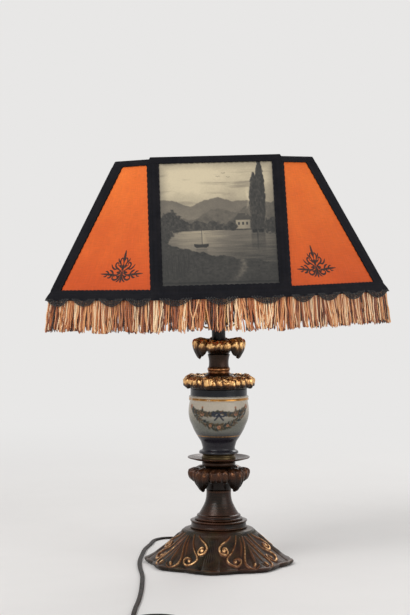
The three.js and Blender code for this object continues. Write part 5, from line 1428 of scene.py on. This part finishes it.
# %% Sew the tapes
def tape_finish():
    """Ribbed black tape with a navy cast and dusty ribs, laid along by its own map."""
    material, tree, shader = start_finish("black tape", Specular_IOR_Level=0.12, Sheen_Weight=0.06,
                                          Sheen_Roughness=0.5, Sheen_Tint=rgb(96, 100, 130))
    mapped = map_place(tree)
    ribs = add(tree, "TexWave", {"Vector": mapped, "Scale": 190.0, "Distortion": 0.6, "Detail": 1.0},
               wave_type="BANDS", bands_direction="X", wave_profile="SIN").outputs["Fac"]
    rows = add(tree, "TexWave", {"Vector": mapped, "Scale": 140.0, "Distortion": 0.4},
               wave_type="BANDS", bands_direction="Y", wave_profile="SIN").outputs["Fac"]
    weave = maths(tree, "MULTIPLY_ADD", ribs, 0.6, maths(tree, "MULTIPLY", rows, 0.4))
    patches = use(tree, mottle, Vector=own_place(tree), Scale=60.0, Low=0.4, High=0.65)
    ground = mix(tree, weave, rgb(5, 5, 8), rgb(18, 18, 25))
    dust = mix(tree, maths(tree, "MULTIPLY", patches["Mask"], 0.3), ground, rgb(34, 31, 33))
    feed(tree, shader, dust, patches["Fine"], (0.62, 0.8), (0.5, 0.0006), weave)
    return material


black_tape = tape_finish()
picot_pitch, picot_depth = 7.0, 0.9
side_ends = corners_at(shade_bottom, 0.0)
side_lengths = np.linalg.norm(side_ends - np.roll(side_ends, -1, axis=0), axis=1)


def picot(distance):
    """How far the edge stands out at a distance along it: rounded scallops."""
    return picot_depth * np.abs(np.sin(np.pi * distance / picot_pitch)) ** 0.7


def level(side, high_front, high_side):
    return high_front if side in (0, 3) else high_side


def top_section(side, walked):
    """Folded over the top edge; the scallops hang from its lower edge."""
    top = level(side, 515.0, 512.5)
    low = level(side, 506.3, 504.6) + 0.9 - picot(walked)
    return [(low, 0.25), (low + 0.4, 0.0), (low + 2, -0.1), (top - 1.2, -0.05), (top - 0.35, 0.12),
            (top, 0.5), (top - 0.35, 0.88), (top - 1.2, 1.0), (low + 0.4, 1.0), (low, 0.75)]


def bottom_section(side, walked):
    """Up the panel with scallops on top, and a lip that hangs in front of the fringe."""
    top = level(side, 356.5, 352.5) - 0.9 + picot(walked)
    lip = 339.3 + 0.5 - 0.5 * np.abs(np.cos(np.pi * walked / picot_pitch))
    middle = 342.5
    return [(lip, -0.95), (lip + 0.5, -1.2), (middle, -1.2), (middle + 2.5, -0.95), (top - 2.4, -0.08),
            (top - 0.4, 0.0), (top, 0.25), (top, 0.75), (top - 0.4, 1.0), (middle + 2.5, 0.2),
            (middle, -0.2), (lip + 0.5, 0.0), (lip, -0.25)]


def band_round(name, node, section):
    """A mitred band round the six sides. section(side, walked) gives pairs of a height and
    an inset for the places walked to."""
    rows, walked = [], 0.0
    for side, length in enumerate(side_lengths):
        steps = int(length / 0.95)
        share = (np.arange(steps) + 0.5) / steps
        outline = section(side, walked + share * length)
        heights, insets = (np.stack([pair[k] + 0 * share for pair in outline], 1) for k in (0, 1))
        rows.append(on_side(side, share[:, None], heights, insets, 0.5))
        walked += length
    grid = shade_place(np.concatenate(rows))
    piece = grid_piece(name, grid, black_tape, (True, True), (walked * MM, 0.04))
    seat(piece, "shade", "black_tape", node)


band_round("top_tape", "top_binding", top_section)
band_round("bottom_tape", "bottom_binding", bottom_section)


def corner_tape(corner):
    """A tape folded over the edge between two sides, scalloped along both edges. Its ends
    run on under the top and bottom tapes, a little further in."""
    before = (corner + 5) % 6
    height = np.linspace(350.6, 508.6, 240)
    wave = picot(height / side_slope)
    halves = []
    for inset in (0.0, 1.0):
        line = []
        for side, neighbour, shares in ((corner, (corner + 1) % 6, (1.0, 0.97, 0.6, 0.25, 0.08, 0.0)),
                                        (before, before, (0.08, 0.25, 0.6, 0.97, 1.0))):
            below = step_up(level(side, 356.2, 352.6), level(side, 355.0, 351.4), height)
            above = step_up(level(side, 506.2, 504.5), level(side, 507.5, 505.8), height)
            at = corners_at(height, inset + (1.0 - inset) * 0.3 * np.maximum(below, above))
            away = unit(at[:, neighbour] - at[:, corner])
            reach = (17.0 if corner in (2, 5) else level(side, 11.5, 4.8)) - picot_depth + wave
            line += [at[:, corner] + away * (reach * share)[:, None] for share in shares]
        halves.append(np.stack(line, 1))
    grid = shade_place(np.concatenate([halves[0], halves[1][:, ::-1]], 1))
    number = corner + 1
    piece = grid_piece(f"corner_tape_{number}", grid, black_tape, (False, True), (0.162, 0.03), caps=True)
    seat(piece, "shade", "black_tape", f"corner_binding_{number}")


for corner in range(6):
    corner_tape(corner)
print("tapes are sewn round", round(float(side_lengths.sum()) * MM, 3), "m of edge")

# %% [markdown]
# ## The fringe
# A satin bullion fringe hangs from inside the lower tape: cords of shiny thread, each
# twisted back on itself into a loop, in tones from pale peach to dark brown. The outer
# strands differ because the threads were dyed by hand and have faded unevenly; the two
# inner layers are dark brown, painted shade that fills the gaps between the outer strands.
# Each strand is a thin tube of its own. Strands lean together in tufts and leave gaps
# between them, dark with that painted shade; they wander as they hang, end a little
# higher or lower than their neighbours, and a few lie across the rest.


# %% Hang the fringe
def satin_finish():
    """Twisted satin: the tint is picked for each strand, and the twist runs by the map."""
    material, tree, shader = start_finish("satin fringe", Specular_IOR_Level=0.7, Sheen_Weight=0.15,
                                          Sheen_Roughness=0.35)
    parts = add(tree, "SeparateXYZ", {0: map_place(tree)}).outputs
    twist = maths(tree, "MULTIPLY_ADD", parts[0], 16.0, parts[1])
    wave = maths(tree, "SINE", maths(tree, "MULTIPLY", twist, TURN))
    steps = [(0.0, rgb(34, 17, 10)), (0.3, rgb(110, 54, 26)), (0.52, rgb(186, 104, 56)),
             (0.75, rgb(233, 166, 107)), (1.0, rgb(253, 222, 180))]
    dyed = ramp(tree, attribute(tree, "tint"), steps)
    twisted = grey(tree, spread(tree, wave, -1.0, 1.0, 0.86, 1.04))
    fill(tree, shader, {"Base Color": mix(tree, 1.0, dyed, twisted, "MULTIPLY"),
                        "Roughness": spread(tree, wave, -1.0, 1.0, 0.34, 0.22),
                        "Normal": bump(tree, wave, 0.2, 0.0003)})
    return material


fringe_low, fringe_high, fringe_out, tuft_pitch, pair_pitch = 298.0, 342.2, 3.4, 11, 4.6
down = np.concatenate([np.linspace(0, 0.96, 11), [0.99, 1.0]])
strand_rng = np.random.default_rng(12)


def strand_paths(layer, pitch, thick, bright, stray):
    """Centre lines, radii and tints for one layer. Along the edge, tufts about 11 mm apart,
    and pairs inside them, draw their strands together as they hang. A strand's end is its
    tuft's end plus its own luck, and its wander is two slow waves of its own phase."""
    counts = (side_lengths / pitch).astype(int)
    start = np.repeat(np.arange(6), counts)
    number = np.concatenate([np.arange(count) for count in counts])
    length = side_lengths[start]
    luck = strand_rng.normal(size=(7, len(start)))
    place = (number + 0.5 + 0.3 * luck[0]) * pitch
    walked = place + np.concatenate([[0], np.cumsum(side_lengths)[:-1]])[start]
    drift = 0.8 * value_noise(walked / 23, walked * 0 + layer, 90)
    tuft = np.floor(walked / tuft_pitch + drift)
    tuft_luck = np.random.default_rng(77).normal(size=(400, 3))[tuft.astype(int) % 400]
    pull = np.clip((tuft + 0.5 - drift) * tuft_pitch - walked, -7, 7)[:, None] * 0.34 * down**1.3
    pair_middle = (np.floor(walked / pair_pitch) + 0.5) * pair_pitch
    pull = pull + (pair_middle - walked)[:, None] * 0.4 * down
    lean = (1.8 * tuft_luck[:, 0] + stray * luck[1])[:, None] * down**1.2
    phase = 3 * luck[3][:, None]
    wander = 0.8 * np.sin(down * (6 + 2 * luck[2][:, None]) + phase) * down**0.5
    wander = wander + 0.4 * np.sin(down * 15 + 2 * phase) * down**0.5
    low = fringe_low + 3.2 + 1.6 * tuft_luck[:, 1] + 1.2 * luck[4]
    low = np.clip(low, fringe_low + 0.4, fringe_low + 10)
    height = fringe_high - down * (fringe_high - low)[:, None]
    along = np.clip((place[:, None] + pull + lean + wander) / length[:, None], 0.003, 0.997)
    inset = 1.6 + 1.1 * (layer - 0.5) - fringe_out * down - 0.35 * np.abs(luck[1])[:, None] * down**2
    level_line = np.full(len(down), shade_bottom)
    points = np.stack([on_side(side, along[k], level_line, inset[k]) for k, side in enumerate(start)])
    points[..., 2] = height
    radii = thick * (1 + 0.13 * luck[5])[:, None] * (1 + 0.1 * np.sin(down * 14 + phase))
    radii[:, -2:] *= (0.85, 0.45)
    tints = np.clip(bright + 0.12 * tuft_luck[:, 2] + 0.24 * luck[6], 0, 1)
    return points, radii, tints


def hang_strands(name, nodes, layers):
    """A piece made of every strand of some layers: each is (layer, pitch, thick, bright,
    stray), as strand_paths takes them."""
    strands, thick, tints = (np.concatenate(parts) for parts in zip(*(strand_paths(*k) for k in layers)))
    rings = tube(shade_place(strands), thick * MM, 5, up=(0.31, 0.95, 0.0))
    values = {"tint": np.broadcast_to(tints[:, None, None], rings.shape[:3])}
    piece = grid_piece(name, rings, satin, (False, True), values=values)
    seat(piece, "shade", "satin_fringe", *nodes)
    print(name, "strands:", len(strands), "faces:", len(piece.data.polygons))


satin = satin_finish()
hang_strands("satin_fringe", ["fringe"], [(0, 2.3, 0.72, 0.66, 1.3), (0.6, 2.0, 0.7, 0.5, 1.0),
                                          (-0.4, 13.0, 0.66, 0.85, 4.5)])
# The two inner layers are dark: painted shade in the gaps between the outer strands.
hang_strands("fringe_painted_shade", [], [(1.4, 2.1, 0.75, 0.34, 0.7), (2.2, 2.3, 0.85, 0.16, 0.5)])

# %% [markdown]
# ## Painted arabesques
# Each silk panel carries a small painted arabesque low down near its inner corner: a tall
# spike, a lozenge, and scrolls that are mirrored to the left and right. The paint lies on
# the cloth as thin ribbons. A ribbon is a flat strip along a line, widest in its middle
# and pointed at its ends, and it follows the swell of the silk.


# %% Paint the arabesques
# Each stroke: its line, x and up in mm from the ornament's middle, and half its width.
arabesque_half = [
    ([(2, -7), (9, -9.2), (17, -8.6), (25, -8), (35, -7.4)], 1.1),
    ([(1.5, -8), (5, -13), (10, -15.5), (14.4, -13.6), (13.6, -10.6), (11, -11)], 1.0),
    ([(13, -8.6), (16.6, -4.4), (21, -2.6)], 1.0), ([(20, -8.4), (23.6, -5), (27.4, -4)], 0.8),
    ([(15, -8.6), (18.8, -12), (23, -12.8)], 1.0), ([(23, -8.2), (26, -10.8), (29.6, -11)], 0.7),
    ([(1.2, -5), (6, -2), (10.6, 0.6), (12.6, 4.2), (10.4, 6.8), (7.6, 5.4), (8.6, 2.8)], 1.0),
    ([(8, -1), (13, -1.6), (17, 1), (19.4, 4.8)], 0.9),
    ([(0.8, 1), (3.8, 4), (5.8, 8.6), (4, 12.6), (1.8, 12), (2.2, 9.4)], 0.85),
    ([(4.8, 6.4), (8, 8.8), (9.6, 12.6)], 0.8), ([(0.5, -10), (3, -15), (7.4, -18.4)], 0.9),
    ([(2, -3), (4.6, -5.8), (9, -6)], 1.4), ([(2, -9.4), (5, -11.4), (8.6, -10.6)], 1.2),
    ([(2.4, 0), (5, 2.4), (7.4, 3)], 1.0),
]
arabesque_middle = [([(0, 5), (0, 13), (0, 23)], 1.5), ([(0, 5), (0, 1), (0, -4)], 1.8),
                    ([(0, -4), (0, -8.5), (0, -13)], 1.6), ([(0, -12), (0, -16), (0, -19.5)], 1.1)]


def ribbon(line, half_width):
    """The two edges and the middle of a ribbon, evenly spaced along a smooth flat line."""
    path = smooth_line(line, 12)
    walked = walked_along(path)
    at = np.linspace(0, walked[-1], 18)
    path = np.stack([np.interp(at, walked, path[:, k]) for k in (0, 1)], -1)
    along = unit(np.gradient(path, axis=0))
    across = np.stack([-along[:, 1], along[:, 0]], -1)
    width = 1.25 * half_width * (0.12 + 0.88 * np.sin(np.pi * np.linspace(0, 1, 18)) ** 0.7)
    return np.stack([path - across * width[:, None], path, path + across * width[:, None]], 1)


def arabesque(side):
    """All ribbons of one ornament. Its middle is a share of the side's length away from
    the front or back corner, and it stands square to the lower edge, so its distance from
    that corner shrinks with the height, as the corner leans over. The ribbons' two faces
    lie just over and under the silk's."""
    middle_height, inward = 379.0, 0.325
    halves = [ribbon(line, width) for line, width in arabesque_half]
    drawn = halves + [half * (-1, 1) for half in halves]
    drawn = np.stack(drawn + [ribbon(line, width) for line, width in arabesque_middle])
    height = middle_height + drawn[..., 1] * side_slope
    near, far = (side, (side + 1) % 6) if side in (1, 4) else ((side + 1) % 6, side)
    low, high = corners_at(np.array([middle_height, middle_height + 10]), silk_face)
    span = low[far] - low[near]
    lean = (high[near] - low[near]) @ unit(span) / 10
    corners = corners_at(height, silk_face)
    length = np.linalg.norm(corners[..., far, :] - corners[..., near, :], axis=-1)
    share = (inward * np.linalg.norm(span) + drawn[..., 0] - lean * (height - middle_height)) / length
    share = share if side in (1, 4) else 1 - share
    share = (share - panel_margin / length) / (1 - 2 * panel_margin / length)
    swell = silk_swell(side, share, height)
    face, rear = (on_side(side, share, height, inset - swell, panel_margin) for inset in (1.46, 1.75))
    grids = shade_place(np.concatenate([face, rear[..., ::-1, :]], 2))
    piece = grid_piece(f"arabesque_{side}", grids, paint, (False, True), smooth=False)
    seat(piece, "shade", "amber_silk")


paint = coat("stencil paint", rgb(34, 20, 16), rgb(74, 36, 22), (0.45, 0.7), 260.0, relief=(0.3, 0.0002),
             Specular_IOR_Level=0.35)
for side in silk_sides:
    arabesque(side)
print("arabesques:", len(arabesque_half) * 2 + len(arabesque_middle), "ribbons each")

# %% [markdown]
# ## Beaded swags
# Under the lower tape hangs a trim of black glass beads in shallow swags, in front of the
# fringe. A swag is a hanging curve, which over so small a drop is a parabola. Each swag is
# a small net: four rows of beads, one inside the other, on threads.


# %% Thread the swags
polar, turned = np.meshgrid(np.linspace(0.02, np.pi - 0.02, 5), np.arange(6) / 6 * TURN, indexing="ij")
ball = np.stack([np.sin(polar) * np.cos(turned), np.sin(polar) * np.sin(turned), np.cos(polar)], -1)
trim_height, trim_inset, swag_pitch = 341.0, -2.0, 50.0
# Each row: half its width, its drop, a bead's radius in mm, and the number of beads.
swag_rows = ((18.5, 8.2, 1.05, 19), (15.6, 6.2, 0.95, 17), (12.4, 4.3, 0.9, 14), (9, 2.5, 0.85, 10))
bead_rng = np.random.default_rng(31)


def swag_line(side, middle, half_width, drop, count):
    """Evenly spaced places on a parabola in front of the lower tape, in mm."""
    x = np.linspace(-1, 1, 201)
    walked = walked_along(np.stack([x * half_width, drop * (1 - x**2)], -1))
    x = np.interp((np.linspace(-1, 1, count) + 1) / 2 * walked[-1], walked, x)
    share = (middle + half_width * x) / side_lengths[side]
    flat = on_side(side, share, np.full(count, shade_bottom), np.full(count, trim_inset))
    return np.concatenate([flat[..., :2], (trim_height - drop * (1 - x**2))[..., None]], -1)


beads, threads = [], []
for side, length in enumerate(side_lengths):
    swag_count = round(length / swag_pitch)
    for middle in (np.arange(swag_count) + 0.5) * length / swag_count:
        for half, drop, size, count in swag_rows:
            centres = shade_place(swag_line(side, middle, half, drop, count))
            sizes = size * (1 + 0.08 * bead_rng.normal(size=count)) * MM
            beads.append(centres[:, None, None] + ball * sizes[:, None, None, None])
            threads.append(swag_line(side, middle, half, drop, 13))
beads = np.concatenate(beads)
cords = tube(shade_place(np.array(threads)), 0.3 * MM, 4, up=(0.31, 0.95, 0.0))
jet = coat("jet beads", rgb(9, 8, 10), rgb(30, 24, 24), (0.22, 0.45), 420.0, relief=(0.2, 0.0002),
           Coat_Weight=0.4, Coat_Roughness=0.12)
for name, grids in (("swag_beads", beads), ("swag_threads", cords)):
    seat(grid_piece(name, grids, jet, (False, True)), "shade", "black_tape")
print("beads:", len(beads), "threads:", len(cords))

# %% [markdown]
# ## Hardware
# The parts that hold the lamp and its shade together are plain: a painted steel pipe, a
# brass socket with its key, a harp on which the shade hangs, rings and ribs of black wire,
# a bulb, nuts and washers. They keep the shapes of the solids and get their finishes here.

# %% Finish the hardware
black_paint = coat("black paint", rgb(14, 14, 16), rgb(32, 28, 26), (0.36, 0.52), Specular_IOR_Level=0.4)
black_plastic = coat("black plastic", rgb(16, 15, 15), rgb(26, 24, 23), (0.4, 0.56), Specular_IOR_Level=0.4)
green_felt = coat("green felt", rgb(34, 52, 38), rgb(46, 62, 44), (0.84, 1.0), 420.0, Sheen_Weight=0.5,
                  Sheen_Roughness=0.6, Sheen_Tint=rgb(120, 150, 120), Specular_IOR_Level=0.1)
opal_glass = coat("opal glass", rgb(232, 231, 224), rgb(222, 221, 212), (0.16, 0.32), 30.0,
                  Coat_Weight=0.5, Coat_Roughness=0.06)
hardware = (
    (lamp_brass, "harp harp_saddle harp_sleeve_left harp_sleeve_right socket_cap socket_shell screw_shell "
                 "switch_key bulb_base finial spider plug_blade_1 plug_blade_2"),
    (zinc_steel, "base_nut base_washer centre_pipe socket_nipple"),
    (black_paint, "stem top_ring_wire bottom_ring_wire rib_wire_1 rib_wire_2 rib_wire_3 rib_wire_4 "
                  "rib_wire_5 rib_wire_6"),
    (black_plastic, "cord_bushing socket_core"),
    (green_felt, "felt_pad"), (plug_vinyl, "plug_body"), (opal_glass, "bulb_glass"),
)
for material, nodes in hardware:
    for node in nodes.split():
        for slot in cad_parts[node].material_slots:
            slot.material = material
    print(material.name, "on", nodes)

# %% Measure the dressed box and finish
seen_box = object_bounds()
sizes = {"plain": [list(corner) for corner in plain_box], "dressed": [list(corner) for corner in seen_box]}
grown = [round((b - a) / MM, 1) for a, b in zip((*plain_box[0], *plain_box[1]),
                                                (*seen_box[0], *seen_box[1]))]
print("the dressed box differs by, in mm:", grown)
